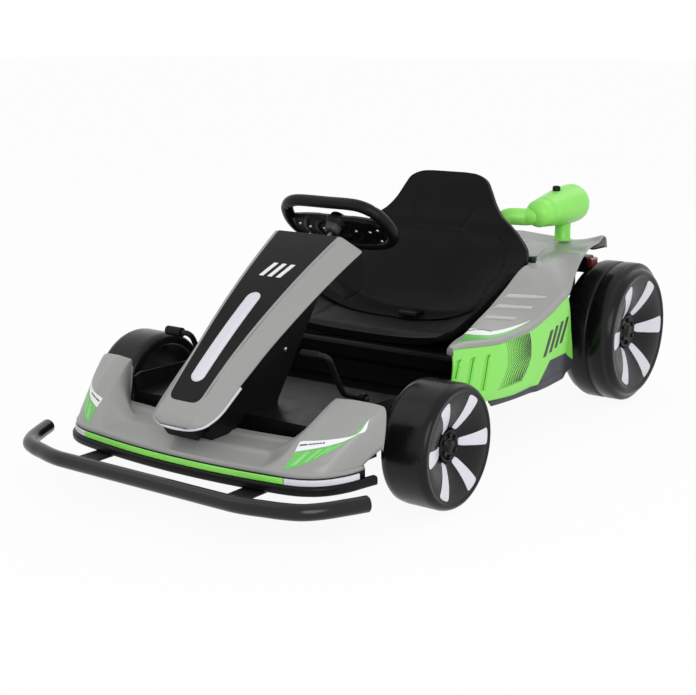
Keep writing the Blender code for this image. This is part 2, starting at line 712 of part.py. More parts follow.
def make_bumper():
    """Round bumper tube bent back at both ends, on two flat brackets."""
    side = [(x, y, BUMPER_Z) for x, y in BUMPER_BEND]
    path = side + [(-x, y, z) for x, y, z in reversed(side)]
    curve = tube_curve("bumper_tube", path, BUMPER_RADIUS, 4)
    add_object("bumper_tube", curve, "black")
    top = MOULDING_BOTTOM - GAP
    for x, word in ((BRACKET_X, "left"), (-BRACKET_X, "right")):
        front = BUMPER_Y + math.sqrt(BUMPER_RADIUS ** 2 - (BUMPER_Z - top) ** 2) - 0.0004
        plate = box_mesh("bumper_bracket_" + word, (x - BRACKET_WIDTH / 2, x + BRACKET_WIDTH / 2),
                         (front, -0.440), (top - BRACKET_THICKNESS, top))
        obj = add_object("bumper_bracket_" + word, plate, "steel")
        bevel(obj, 0.0012, 1)


def make_front_strips():
    """Black moulding with the green strip on it and the pale strips round the corners."""
    top = MOULDING_BOTTOM + MOULDING_HEIGHT
    bulge = MOULDING_BULGE
    round_section = [(bulge - 0.004, MOULDING_BOTTOM), (bulge, MOULDING_BOTTOM + 0.004),
                     (bulge, top - 0.005), (bulge - 0.004, top), (-0.006, top), (-0.006, MOULDING_BOTTOM)]
    stops = nose_stops(0.0, MOULDING_END)
    nose_band("bumper_moulding", mirrored(stops), round_section, "black")
    low, high = STRIP_BOTTOM, STRIP_BOTTOM + STRIP_HEIGHT
    section = [(0.001, low), (0.001, high), (0.001 - STRIP_DEPTH, high), (0.001 - STRIP_DEPTH, low)]
    nose_band("light_strip", mirrored(nose_stops(0.0, STRIP_HALF_WIDTH)), section, "green")
    pale = nose_stops(STRIP_HALF_WIDTH + GAP, PALE_STRIP_END)
    for side, word in ((1, "left"), (-1, "right")):
        nose_band("pale_strip_" + word, [side * x for x in pale], section, "pale")


COWL_STATIONS = [
    # across at the front edge, across at the rear edge, rear height, rear edge y, lower edge z
    (0.0000, 0.0000, SHELF_HEIGHT, SHELF_REAR_Y, LIP_BOTTOM),
    (0.0500, 0.0500, SHELF_HEIGHT, SHELF_REAR_Y + 0.003, LIP_BOTTOM),
    (0.1000, 0.1000, SHELF_HEIGHT, SHELF_REAR_Y + 0.010, LIP_BOTTOM),
    (0.1400, 0.1430, SHELF_HEIGHT + 0.001, SHELF_REAR_Y + 0.022, LIP_BOTTOM),
    (0.1580, 0.1600, SHELF_HEIGHT + 0.015, SHELF_REAR_Y + 0.024, LIP_BOTTOM),
    (0.1800, 0.1860, SHELF_HEIGHT + 0.044, FENDER_REAR_Y - 0.014, LIP_BOTTOM),
    (0.2076, 0.2100, FENDER_HEIGHT - 0.0065, FENDER_REAR_Y - 0.014, LIP_BOTTOM),
    (0.2240, 0.2210, FENDER_HEIGHT - 0.0005, FENDER_REAR_Y - 0.013, LIP_BOTTOM),
    (0.2400, 0.2400, FENDER_HEIGHT, FENDER_REAR_Y - 0.010, LIP_BOTTOM),
    (0.2530, 0.2620, FENDER_HEIGHT - 0.0015, FENDER_REAR_Y - 0.005, LIP_BOTTOM),
    (0.2640, 0.2840, FENDER_HEIGHT - 0.0035, FENDER_REAR_Y, LIP_BOTTOM),
    (0.2720, 0.2950, FENDER_HEIGHT - 0.0060, FENDER_REAR_Y + 0.002, LIP_BOTTOM),
    (0.2780, 0.3005, FENDER_HEIGHT - 0.0145, FENDER_REAR_Y + 0.001, LIP_BOTTOM),
    (0.2820, 0.3020, FENDER_HEIGHT - 0.0345, FENDER_REAR_Y - 0.002, LIP_BOTTOM),
    (0.2870, 0.3005, FENDER_HEIGHT - 0.0700, FENDER_REAR_Y - 0.007, LIP_BOTTOM + 0.001),
]


def cowl_row(side, station):
    """Points of the cowl's outer face at one station, from the lip back to the rear flange."""
    front_x, rear_x, height, rear, low = station
    edge = nose_point(side * front_x)
    top_edge = nose_point(side * front_x, -0.002)
    row = [(*edge, low), (*edge, LIP_TOP - 0.003), (*top_edge, LIP_TOP)]
    shape = 1.0 + 0.35 * min(max((front_x - 0.143) / 0.06, 0.0), 1.0)
    x = side * rear_x
    for share in (0.15, 0.38, 0.62, 0.85):
        rise = 1 - (1 - share) ** shape
        row.append((top_edge[0] + (x - top_edge[0]) * share, top_edge[1] + (rear - top_edge[1]) * share,
                    LIP_TOP + (height - LIP_TOP) * rise))
    row.append((x, rear - 0.0015, height - 0.0002))
    flange = 0.016 if front_x < 0.15 else 0.005
    row.append((x, rear, height - 0.003))
    row.append((x, rear - 0.0005, height - flange))
    return row


def make_cowl():
    """Grey nose cowl: a low shelf between two fenders that rise to the wheels."""
    rows = [cowl_row(-1, station) for station in reversed(COWL_STATIONS[1:])]
    rows += [cowl_row(1, station) for station in COWL_STATIONS]
    shell("front_cowl", rows, (0, 0, 1), COWL_WALL, "grey")


def make_tray():
    """Black tray under the cowl, with the liners that close the fenders' outer corners."""
    bottom = MOULDING_BOTTOM
    top = bottom + TRAY_THICKNESS
    inset = -0.0066
    front = [nose_point(x, inset) for x in mirrored(nose_stops(0.0, MOULDING_END))]
    rear = MOULDING_REAR_Y
    outline = front + [(0.284, rear), (0.215, rear), (0.215, -0.300), (-0.215, -0.300), (-0.215, rear),
                       (-0.284, rear)]
    tray = add_object("cowl_tray", prism_mesh("cowl_tray", outline, bottom, top, "Z"), "black")
    low, high = bottom + 0.001, LIP_BOTTOM - 2 * GAP
    for side in (1, -1):
        sections = []
        for x in (0.2540, 0.2670, 0.2785, 0.2848, 0.2885):
            outer, inner = nose_point(side * x, inset), nose_point(side * x, inset - 0.0025)
            sections.append([(*outer, low), (*outer, high), (*inner, high), (*inner, low)])
        liner = loft_mesh("liner", sections)
        boolean(tray, add_object("liner_guide", liner), "UNION")


# Column

COLUMN_RUN = COLUMN_HEAD - COLUMN_FOOT
COLUMN_LENGTH = COLUMN_RUN.length
COLUMN_ALONG = COLUMN_RUN.normalized()
COLUMN_NORMAL = Vector((0, -COLUMN_ALONG.z, COLUMN_ALONG.y))


def column_point(distance, across, lift):
    """Place on the column: distance up from the panel's foot, across it, and lift off its face."""
    share = distance / COLUMN_LENGTH
    bulge = 4 * COLUMN_BULGE * share * (1 - share) if 0 < share < 1 else 0.18 * COLUMN_BULGE * min(share, 0)
    place = COLUMN_FOOT + COLUMN_ALONG * distance + COLUMN_NORMAL * (bulge + lift)
    return place + Vector((across, 0, 0))


def panel_half_width(distance):
    """Half width of the black panel at a distance up the column."""
    share = distance / COLUMN_LENGTH
    return PANEL_FOOT_WIDTH + (PANEL_HEAD_WIDTH - PANEL_FOOT_WIDTH) * share


def strip_on_column(name, distances, half_width, lift, thickness, finish, across=4):
    """A thin piece lying on the column's face."""
    sections = []
    for d in distances:
        half = half_width(d)
        spread = [half * (2 * k / across - 1) for k in range(across + 1)]
        top = [column_point(d, x, lift + thickness) for x in spread]
        low = [column_point(d, x, lift) for x in reversed(spread)]
        sections.append(top + low)
    return add_object(name, loft_mesh(name, sections), finish)


def make_column_panel():
    """Gloss black panel, round at its lower corners."""
    corner = 0.012

    def half(d):
        if d >= corner:
            return panel_half_width(d)
        return panel_half_width(d) - corner + math.sqrt(corner ** 2 - (corner - d) ** 2 + 1e-9)

    distances = [0.0, 0.002, 0.006, 0.012] + [COLUMN_LENGTH * k / 8 for k in range(1, 9)]
    strip_on_column("column_panel", distances, half, -PANEL_THICKNESS, PANEL_THICKNESS, "gloss")


def make_light_bar():
    """Long pale light with round ends."""
    radius = LIGHT_BAR_WIDTH / 2
    end = LIGHT_BAR_START + LIGHT_BAR_LENGTH

    def half(d):
        near = min(d - LIGHT_BAR_START, end - d)
        if near >= radius:
            return radius
        return math.sqrt(max(radius ** 2 - (radius - near) ** 2, 0.0)) + 0.0008

    ends = [0.0, 0.0012, 0.004, 0.008, 0.013]
    distances = [LIGHT_BAR_START + e for e in ends]
    middle = 6
    for k in range(1, middle):
        distances.append(LIGHT_BAR_START + radius + (LIGHT_BAR_LENGTH - 2 * radius) * k / middle)
    distances += [end - e for e in reversed(ends)]
    strip_on_column("light_bar", distances, half, GAP, LIGHT_BAR_HEIGHT, "pale")


COVER_SECTIONS = [
    # distance, top half width, top lift, flank half width, flank lift
    (-0.0440, 0.0390, -0.0215, 0.0440, -0.0260),
    (-0.0400, 0.0400, -0.0150, 0.0480, -0.0270),
    (-0.0280, 0.0380, -0.0070, 0.0530, -0.0275),
    (-0.0100, 0.0355, -0.0020, 0.0570, -0.0270),
]


def cover_sections(inset):
    """Rings of the column cover; the inset gives its inner face."""
    face = -PANEL_THICKNESS - GAP
    rows = list(COVER_SECTIONS)
    for k in range(0, 9):
        d = COLUMN_LENGTH * k / 8
        top = panel_half_width(d) + COVER_MARGIN
        out = 0.024 + 0.005 * k / 8
        down = 0.027 + 0.005 * k / 8
        rows.append((d, top, 0.0, top + out, -down))
    sections = []
    for index, (d, top, lift, flank, low) in enumerate(rows):
        face_here = face if d >= 0 else face * 0.6
        if inset and index == 0:
            d += inset * 1.5
        last = index == len(rows) - 1
        if inset and last:
            d += 0.02
        top_x, flank_x = top - inset * 0.8, flank - inset
        lift_top = lift + face_here - inset
        lift_low = low - (0.02 if inset else 0.0)
        if inset and index == 0:
            lift_top = low - 0.001
        sections.append([
            column_point(d, -flank_x, lift_low), column_point(d, -flank_x, low + 0.003),
            column_point(d, -top_x, lift_top - 0.0015), column_point(d, -top_x + 0.003, lift_top),
            column_point(d, top_x - 0.003, lift_top), column_point(d, top_x, lift_top - 0.0015),
            column_point(d, flank_x, low + 0.003), column_point(d, flank_x, lift_low),
        ])
    return sections


def make_column_cover():
    """Grey cover shell: a flat face for the panel and two sloping flanks, closed at its foot."""
    cover = add_object("column_cover", loft_mesh("column_cover", cover_sections(0.0)), "grey")
    inside = add_object("cover_inside", loft_mesh("cover_inside", cover_sections(COVER_WALL)))
    boolean(cover, inside)


def make_column_trim():
    """Pale lip under the rounded foot of the cover."""
    sections = []
    path = [(0.050, 0.0605), (0.020, 0.0580), (-0.010, 0.0565), (-0.028, 0.0530), (-0.040, 0.0480),
            (-0.0455, 0.0400)]
    rail = [(d, x) for d, x in path] + [(d, -x) for d, x in reversed(path)]
    for d, x in rail:
        low = -0.0285
        side = math.copysign(1.0, x)
        outer = column_point(d, x + side * 0.001, low)
        inner = column_point(d, x - side * 0.004, low)
        sections.append([outer, column_point(d, x + side * 0.001, low - 0.004),
                         column_point(d, x - side * 0.004, low - 0.004), inner])
    add_object("column_trim", loft_mesh("column_trim", sections), "pale")


def shelf_height(y):
    """Height just above the cowl's shelf on the middle plane."""
    rear = COWL_STATIONS[0][3]
    front = NOSE_Y + 0.002
    share = min(max((y - front) / (rear - front), 0.0), 1.0)
    return LIP_TOP + (SHELF_HEIGHT - LIP_TOP) * share + GAP + 0.0002


def make_column_housing():
    """Black housing under the cover, hollow for the shaft and its crank."""
    under = -PANEL_THICKNESS - GAP - COVER_WALL - RUNNING_GAP
    roof = [column_point(COLUMN_LENGTH * k / 8, 0, under) for k in range(0, 9)]
    outline = [(-0.497, shelf_height(-0.497)), (-0.503, 0.150)] + [(p.y, p.z) for p in roof]
    outline += [(-0.160, 0.362), (-0.264, 0.221), (-0.319, 0.144), (-0.322, WELL_TOP + GAP),
                (-0.406, WELL_TOP + GAP), (-0.412, shelf_height(-0.440)), (-0.440, shelf_height(-0.440))]
    half = HOUSING_HALF_WIDTH
    housing = add_object("column_housing", prism_mesh("column_housing", outline, -half, half), "black")
    foot = [(-0.499, shelf_height(-0.499)), (-0.506, 0.142), (-0.480, 0.160), (-0.445, 0.160),
            (-0.440, shelf_height(-0.440))]
    foot_half = HOUSING_HALF_WIDTH + 0.013
    block = add_object("foot_guide", prism_mesh("foot_guide", foot, -foot_half, foot_half))
    boolean(housing, block, "UNION")
    inner = half - HOUSING_WALL
    pocket = [(-0.400, 0.130), (-0.400, 0.190), (-0.215, 0.345), (-0.185, 0.320), (-0.275, 0.215),
              (-0.328, 0.150), (-0.328, 0.130)]
    mesh = prism_mesh("housing_pocket", pocket, -inner, inner)
    boolean(housing, add_object("housing_pocket", mesh))
    foot = WHEEL_CENTRE - steering_axis() * 0.30
    shaft = rod_mesh("shaft_hole", foot, WHEEL_CENTRE, SHAFT_RADIUS + RUNNING_GAP, 16)
    boolean(housing, add_object("shaft_hole", shaft))


# Cockpit

def make_floor_pan():
    """Black floor: a raised front well, a low heel floor, wheel-arch walls and pedal ears."""
    front, rear = WELL_FRONT_Y, REAR_AXLE_Y - 0.182
    top = [(front, WELL_TOP), (front + 0.014, WELL_TOP), (-0.172, WELL_TOP), (-0.132, FLOOR_TOP),
           (rear, FLOOR_TOP)]
    raised = [(front, 0.160), (front + 0.014, 0.165), (-0.200, 0.160), (-0.132, 0.130),
              (rear, FLOOR_TOP + 0.010)]
    sections = []
    half = FLOOR_HALF_WIDTH
    for x, edge in ((-half, True), (-half + 0.004, True), (-half + 0.008, False), (half - 0.008, False),
                    (half - 0.004, True), (half, True)):
        upper = raised if edge else top
        ring = [(x, y, z) for y, z in upper] + [(x, y, z - FLOOR_WALL) for y, z in reversed(top)]
        sections.append(ring)
    floor = add_object("floor_pan", loft_mesh("floor_pan", sections), "black")
    bulkhead = box_mesh("bulkhead", (-half, half), (front, front + FLOOR_WALL),
                        (FLOOR_TOP - FLOOR_WALL, WELL_TOP - 0.001))
    boolean(floor, add_object("bulkhead_guide", bulkhead), "UNION")
    sweep = HOUSING_HALF_WIDTH - HOUSING_WALL
    hole = box_mesh("shaft_slot", (-sweep, sweep), (-0.398, -0.330), (0.1, 0.15))
    boolean(floor, add_object("shaft_slot", hole))
    for x in (BRAKE_X, THROTTLE_X):
        side = [(0.010, WELL_TOP - 0.002), (0.009, PEDAL_Z + 0.004), (0.004, PEDAL_Z + 0.009)]
        ear = [(PEDAL_Y - y, z) for y, z in side] + [(PEDAL_Y + y, z) for y, z in reversed(side)]
        lug = prism_mesh("ear", ear, x + 0.009, x + 0.017)
        boolean(floor, add_object("ear_guide", lug), "UNION")
        bore = rod_mesh("ear_bore", (x + 0.005, PEDAL_Y, PEDAL_Z), (x + 0.025, PEDAL_Y, PEDAL_Z),
                        PEDAL_RADIUS + RUNNING_GAP, 16)
        boolean(floor, add_object("ear_bore", bore))


def make_pedals():
    """Two alike bent-rod pedals: a pivot leg, a leg leaning forward and a bar across."""
    for x, name in ((BRAKE_X, "brake_pedal"), (THROTTLE_X, "throttle_pedal")):
        path = [(0.021, 0, 0), (0, 0, 0), (0, -0.080, 0.090), (-PEDAL_BAR, -0.080, 0.090)]
        curve = tube_curve(name, rounded_path(path, 0.010, 3), PEDAL_RADIUS, 3)
        add_object(name, curve, "steel", (x, PEDAL_Y, PEDAL_Z))


def make_seat_base():
    """Black battery housing that the seat stands on, creased along its front."""
    low = FLOOR_TOP + GAP
    top = SEAT_BASE_TOP
    outline = [(-0.030, low), (-0.034, 0.146), (-0.048, 0.151), (-0.056, top - 0.007), (-0.050, top),
               (0.225, top), (0.240, top - 0.015), (0.240, low)]
    half = SEAT_BASE_HALF_WIDTH
    base = add_object("seat_base", prism_mesh("seat_base", outline, -half, half), "black")
    bevel(base, 0.003, 1)
    wall = SEAT_BASE_WALL
    inside = box_mesh("base_inside", (-half + wall, half - wall), (-0.030 + wall, 0.240 - wall),
                      (low - 0.01, top - wall))
    boolean(base, add_object("base_inside", inside))


SEAT_STATIONS = [
    # centre y, centre z, half width, wing depth, thickness, direction of the front face in degrees from up
    (-0.052, 0.2045, 0.1700, 0.0120, 0.015, 20),
    (-0.030, 0.2135, 0.1820, 0.0100, 0.026, 5),
    (0.030, 0.2145, 0.1920, 0.0325, 0.026, -2),
    (0.090, 0.2115, 0.1980, 0.0610, 0.024, 4),
    (0.135, 0.2140, 0.2010, 0.0730, 0.024, 22),
    (0.160, 0.2340, 0.2030, 0.0640, 0.024, 28),
    (0.176, 0.2650, 0.2045, 0.0410, 0.026, 33),
    (0.190, 0.3000, 0.2045, 0.0120, 0.026, 66),
    (0.203, 0.3350, 0.1980, 0.0000, 0.026, 75),
    (0.214, 0.3600, 0.1760, 0.0000, 0.025, 76),
    (0.220, 0.3800, 0.1520, 0.0000, 0.024, 76),
    (0.226, 0.3950, 0.1300, 0.0000, 0.024, 76),
    (0.233, 0.4150, 0.1120, 0.0000, 0.023, 77),
    (0.240, 0.4400, 0.0970, 0.0000, 0.022, 78),
    (0.247, 0.4600, 0.0820, 0.0000, 0.018, 80),
    (0.250, 0.4710, 0.0600, 0.0000, 0.012, 82),
]
SEAT_ACROSS = 10
BELT_STATIONS = SEAT_STATIONS[2:4]


def seat_section(station):
    """Ring of the bucket seat at one station: its front face, then its back face."""
    y, z, half, wing, thickness, degrees = station
    a = math.radians(degrees)
    face = Vector((0, -math.sin(a), math.cos(a)))
    centre = Vector((0, y, z))
    front, back = [], []
    for k in range(SEAT_ACROSS + 1):
        v = 2 * k / SEAT_ACROSS - 1
        lift = wing * abs(v) ** 3
        edge = 1 - 0.45 * abs(v) ** 6
        front.append(centre + face * lift + Vector((half * v, 0, 0)))
        back.append(centre + face * (lift - thickness * edge) + Vector((half * v, 0, 0)))
    return front + list(reversed(back))


def make_seat():
    """Black bucket seat: cushion, wings and a back narrowing to the headrest."""
    sections = [seat_section(station) for station in SEAT_STATIONS]
    add_object("seat_shell", loft_mesh("seat_shell", sections), "seat")


def wing_rise(v):
    """Share of the wing's depth at a place across the seat, straight between its section's points."""
    step = 2 / SEAT_ACROSS
    inner = math.floor(abs(v) / step + 1e-6) * step
    outer = min(inner + step, 1.0)
    return inner ** 3 + (outer ** 3 - inner ** 3) * (abs(v) - inner) / step


def make_belt():
    """Lap belt lying across the cushion, with its buckle."""
    low, high = BELT_STATIONS
    half_strap = 0.014
    middle = (low[0] + high[0]) / 2
    sections = []
    for k in range(SEAT_ACROSS + 1):
        v = max(min(2 * k / SEAT_ACROSS - 1, 0.9), -0.9)
        place = []
        for y in (middle - half_strap, middle + half_strap):
            share = (y - low[0]) / (high[0] - low[0])
            z, half, wing = (low[i] + (high[i] - low[i]) * share for i in (1, 2, 3))
            clear = 0.0009 + 0.0045 * v ** 2
            place.append(Vector((half * v, y, z + wing * wing_rise(v) + clear)))
        up = Vector((0, 0, 0.0016))
        sections.append([place[0], place[1], place[1] + up, place[0] + up])
    add_object("lap_belt", loft_mesh("lap_belt", sections), "webbing")
    z = max(low[1], high[1]) + 0.0042
    buckle = box_mesh("belt_buckle", (0.020, 0.062), (middle - 0.018, middle + 0.018), (z, z + 0.012))
    obj = add_object("belt_buckle", buckle, "black")
    bevel(obj, 0.003, 2)


# Tail

DECK = [
    # y, outer x, seam z, inner x, top z
    (-0.141, 0.2580, 0.2210, 0.2460, 0.2275),
    (-0.118, 0.2585, 0.2190, 0.2380, 0.2290),
    (-0.060, 0.2630, 0.2125, 0.2250, 0.2310),
    (0.000, 0.2690, 0.2080, 0.2150, 0.2440),
    (0.050, 0.2700, 0.2090, 0.2100, 0.2575),
    (0.100, 0.2700, 0.2120, 0.2085, 0.2790),
    (0.180, 0.2680, 0.2290, 0.2085, 0.3150),
    (0.225, 0.2646, 0.2420, 0.2075, 0.3180),
    (0.260, 0.2620, 0.2520, 0.1900, 0.3185),
    (0.310, 0.2500, 0.2850, 0.1720, 0.3190),
    (0.350, 0.2450, 0.3110, 0.1600, 0.3195),
    (0.400, 0.2370, 0.3230, 0.1500, 0.3205),
    (0.440, 0.2350, 0.3270, 0.1430, 0.3210),
]


def deck_row(station, side):
    """Section of a deck arm from the seam over a crease and the slanted top to the inner edge."""
    y, outer, seam, inner, top = station
    crease_x, edge_x = outer - 0.006, inner + 0.004
    crease = max(min(seam + 0.011, top - 0.001), seam + 0.003)
    power = 1.15 + 0.65 * min(max((y - 0.22) / 0.12, 0.0), 1.0)
    points = [(outer, seam + SEAM_GAP), (outer - 0.0004, seam + 0.6 * (crease - seam)), (crease_x, crease)]
    for share in (0.35, 0.70):
        rise = 1 - (1 - share) ** power
        points.append((crease_x + (edge_x - crease_x) * share, crease + (top - crease) * rise))
    points += [(edge_x, top), (inner, top - 0.004), (inner, top - 0.012)]
    return [(side * x, y, z) for x, z in points]


def tail_tip_row(side):
    """Last section of a deck arm, turned up into the spoiler lip."""
    points = [(0.235, 0.464, 0.3300), (0.2345, 0.466, 0.3335), (0.230, 0.469, 0.3380), (0.212, 0.478, 0.3350),
              (0.185, 0.476, 0.3270), (0.160, 0.474, 0.3220), (0.140, 0.476, 0.3180), (0.1395, 0.476, 0.3100)]
    return [(side * x, y, z) for x, y, z in points]


def make_deck_arms():
    """Grey arms that run from the cockpit sides up to the tail."""
    for side, word in ((1, "left"), (-1, "right")):
        rows = [deck_row(station, side) for station in DECK]
        rows.append(tail_tip_row(side))
        arm = shell("deck_arm_" + word, rows, (side, 0, 2), PANEL_WALL, "grey")
        if side > 0:
            x, y, z = KNOB_PLACE
            boss = rod_mesh("knob_boss", (x, y, z - 0.016), (x, y, z - GAP), KNOB_RADIUS + 0.0015, 16)
            boolean(arm, add_object("knob_boss", boss), "UNION")


def bridge_point(share_across, share_along):
    """Top face of the tail bridge: 0 to 1 from its front edge to the spoiler lip."""
    lip_y = BRIDGE_SIDE_Y + 0.072 * (1 - abs(share_across) ** 1.2)
    y = BRIDGE_FRONT_Y + (lip_y - BRIDGE_FRONT_Y) * share_along
    side_y = BRIDGE_FRONT_Y + (BRIDGE_SIDE_Y - BRIDGE_FRONT_Y) * share_along
    half = between(DECK + [(BRIDGE_SIDE_Y, 0, 0, 0.1395)], side_y, 3) - BRIDGE_CLEARANCE
    top = between(DECK, min(y, 0.44), 4) - 0.004
    z = top - 0.006 * (1 - abs(share_across) ** 2) + 0.008 * max(share_along - 0.8, 0) / 0.2
    return half * share_across, y, z


def make_tail_bridge():
    """Grey bridge between the arms behind the seat, with the spoiler lip."""
    stops = [row[0] for row in DECK if row[0] > BRIDGE_FRONT_Y] + [BRIDGE_SIDE_Y]
    shares = [0.0] + [(y - BRIDGE_FRONT_Y) / (BRIDGE_SIDE_Y - BRIDGE_FRONT_Y) for y in stops]
    rows = []
    for a in range(9):
        across = a / 4 - 1
        rows.append([bridge_point(across, share) for share in shares])
    shell("tail_bridge", rows, (0, 0, 1), BRIDGE_WALL, "grey")


SIDE_BOTTOM = [
    # y at the bottom, z at the bottom, for each station of the deck
    (-0.134, 0.160), (-0.120, 0.126), (-0.050, 0.111), (0.010, 0.105), (0.062, 0.101), (0.147, 0.103),
    (0.190, 0.1400), (0.270, 0.1385), (0.350, 0.1060),
]
SIDE_TOP_Y = [-0.141, -0.118, -0.060, 0.000, 0.050, 0.100, 0.180, 0.225, 0.258]


def side_x(y):
    """Outer face of the side panel in plan."""
    return between(DECK, y, 1)


def side_point(side, y, z, seam):
    """Point of the side panel's outer face, drawn in a little towards the bottom."""
    drop = max(seam - z, 0.0)
    return side * (side_x(y) - 0.0012 - 0.35 * drop ** 2), y, z


def make_side_panels():
    """Green side panels hanging from the deck arms' seam."""
    for side, word in ((1, "left"), (-1, "right")):
        rows = []
        for (y_low, z_low), y_top in zip(SIDE_BOTTOM, SIDE_TOP_Y):
            seam = between(DECK, y_top, 2)
            row = []
            for share in (0.0, 0.25, 0.5, 0.75, 1.0):
                y = y_low + (y_top - y_low) * share
                z = z_low + (seam - z_low) * share
                row.append(side_point(side, y, z, seam))
            rows.append(row)
        shell("side_panel_" + word, rows, (side, 0, 0), PANEL_WALL, "green")


def make_sills():
    """Dark sills under the side panels, with the raised insert ahead of the rear wheel."""
    top = [(-0.020, 0.1076)] + SIDE_BOTTOM[3:] + [(0.354, 0.1042)]
    low = [(-0.015, 0.0970), (0.010, 0.0955), (0.062, 0.0930), (0.147, 0.0905), (0.190, 0.0890),
           (0.270, 0.0875), (0.350, 0.0905), (0.354, 0.0915)]
    for side, word in ((1, "left"), (-1, "right")):
        rows = []
        for (y_top, z_top), (y_low, z_low) in zip(top, low):
            seam = between(DECK, y_top, 2)
            upper = side_point(side, y_top, z_top - GAP * 2, seam)
            lower = side_point(side, y_low, z_low, seam)
            rows.append([lower, tuple((p + q) / 2 for p, q in zip(lower, upper)), upper])
        shell("sill_" + word, rows, (side, 0, 0), PANEL_WALL, "slate")


def make_rear_body():
    """Black body behind the seat, over the gearboxes and under the tail bridge."""
    front, axle = BODY_FRONT_Y, REAR_AXLE_Y
    low = FLOOR_TOP + GAP
    outline = [(front, low), (axle - 0.185, low), (axle - 0.147, 0.125), (axle - 0.107, 0.205),
               (axle - 0.015, 0.205), (axle - 0.007, 0.215), (axle - 0.007, 0.290), (axle - 0.027, 0.3042),
               (axle - 0.067, 0.3050), (axle - 0.157, 0.3040), (front + 0.028, 0.3030), (front, 0.285)]
    obj = add_object("rear_body", prism_mesh("rear_body", outline, -0.155, 0.155), "black")
    bevel(obj, 0.004, 1)
    inside = [(front + 0.006, low - 0.01), (axle - 0.191, low - 0.01), (axle - 0.153, 0.127),
              (axle - 0.111, 0.211), (axle - 0.013, 0.211), (axle - 0.013, 0.287), (axle - 0.029, 0.2982),
              (axle - 0.155, 0.2980), (front + 0.031, 0.2965), (front + 0.006, 0.281)]
    mesh = prism_mesh("body_inside", inside, -0.149, 0.149)
    boolean(obj, add_object("body_inside", mesh))


def make_tail_lights():
    """Small red lights at the back of the rear body."""
    for x, word in ((0.145, "left"), (-0.145, "right")):
        face = REAR_AXLE_Y - 0.007 + GAP
        light = box_mesh("tail_light_" + word, (x - 0.014, x + 0.014), (face, face + 0.009), (0.262, 0.278))
        obj = add_object("tail_light_" + word, light, "red")
        bevel(obj, 0.003, 2)


def make_muffler():
    """Green dummy muffler on a post, its axis along Y."""
    near, far = MUFFLER_FRONT_RADIUS, MUFFLER_REAR_RADIUS
    length = MUFFLER_LENGTH
    profile = [(0, 0), (0.55 * near, 0.004), (0.85 * near, 0.013), (near, 0.026), (near, 0.034),
               (near + 0.003, 0.036), (near + 0.004, 0.044), (near + 0.004, 0.075), (far, 0.110),
               (far, length - 0.014), (0.93 * far, length - 0.005), (0.80 * far, length), (0, length)]
    location = (MUFFLER_X, MUFFLER_Y - length / 2, MUFFLER_Z)
    turn = (-math.pi / 2, 0, 0)
    muffler = add_object("muffler", turned_mesh("muffler", profile, 20), "green", location, turn)
    foot = (MUFFLER_X, POST_Y, deck_surface(POST_Y) + 0.0030)
    post = rod_mesh("post", foot, (MUFFLER_X, POST_Y, MUFFLER_Z - 0.01), POST_RADIUS, 20)
    boolean(muffler, add_object("post_guide", post), "UNION")
    outlet = [(0, 0), (0.72 * far, 0), (0.72 * far, 0.005), (0.60 * far, 0.007), (0.56 * far, 0.003),
              (0, 0.003)]
    place = (MUFFLER_X, MUFFLER_Y + length / 2 + GAP, MUFFLER_Z)
    add_object("muffler_outlet", turned_mesh("muffler_outlet", outlet, 20), "black", place, turn)
    cap = [(0, 0), (0.009, 0), (0.009, 0.008), (0.007, 0.011), (0, 0.011)]
    place = (MUFFLER_X, MUFFLER_Y - 0.002, MUFFLER_Z + near + 0.0045)
    add_object("muffler_cap", turned_mesh("muffler_cap", cap, 18), "black", place)


def deck_surface(y):
    """Height of a deck arm's top face at a distance along the kart."""
    return between(DECK, y, 4)


def make_pipe():
    """Green pipe from the muffler's front end, bent in and down to the bridge."""
    start = (MUFFLER_X - 0.003, MUFFLER_Y - MUFFLER_LENGTH / 2 - 0.0008, MUFFLER_Z)
    path = [start, (MUFFLER_X - 0.003, 0.308, MUFFLER_Z), (0.078, 0.302, MUFFLER_Z - 0.012), PIPE_FOOT]
    curve = tube_curve("muffler_pipe", rounded_path(path, 0.022, 4), PIPE_RADIUS, 4)
    add_object("muffler_pipe", curve, "green")


def make_knob():
    """Rotary drive knob on its boss beside the seat."""
    profile = [(0, 0), (KNOB_RADIUS, 0), (KNOB_RADIUS, KNOB_HEIGHT - 0.002),
               (KNOB_RADIUS - 0.002, KNOB_HEIGHT), (0, KNOB_HEIGHT)]
    add_object("drive_knob", turned_mesh("drive_knob", profile, 16), "black", KNOB_PLACE)


def clear_scene():
    """Removes the objects that a new file starts with."""
    for obj in list(bpy.data.objects):
        bpy.data.objects.remove(obj, do_unlink=True)


def centre_on_footprint():
    """Moves every piece so that the origin is at the middle of the kart's footprint."""
    for obj in bpy.data.objects:
        obj.location.y += FOOTPRINT_SHIFT


def main():
    """Builds every piece of the kart."""
    clear_scene()
    make_wheels()
    make_frame()
    make_rear_axle()
    make_gearboxes()
    make_knuckles()
    make_track_rod()
    make_steering_shaft()
    make_steering_wheel()
    make_buttons()
    make_bumper()
    make_front_strips()
    make_cowl()
    make_tray()
    make_column_cover()
    make_column_panel()
    make_light_bar()
    make_column_trim()
    make_column_housing()
    make_floor_pan()
    make_pedals()
    make_seat_base()
    make_seat()
    make_belt()
    make_deck_arms()
    make_tail_bridge()
    make_side_panels()
    make_sills()
    make_rear_body()
    make_tail_lights()
    make_muffler()
    make_pipe()
    make_knob()
    centre_on_footprint()


main()
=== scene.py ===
"""Looks of a child's electric drift kart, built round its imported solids.

Every shape is a surface worked out with numpy on a grid of two parameters. The tables below are drawn about
the steering gear, as the solids are, and every mesh is moved to the middle of the footprint at the end.
"""
import json
import math

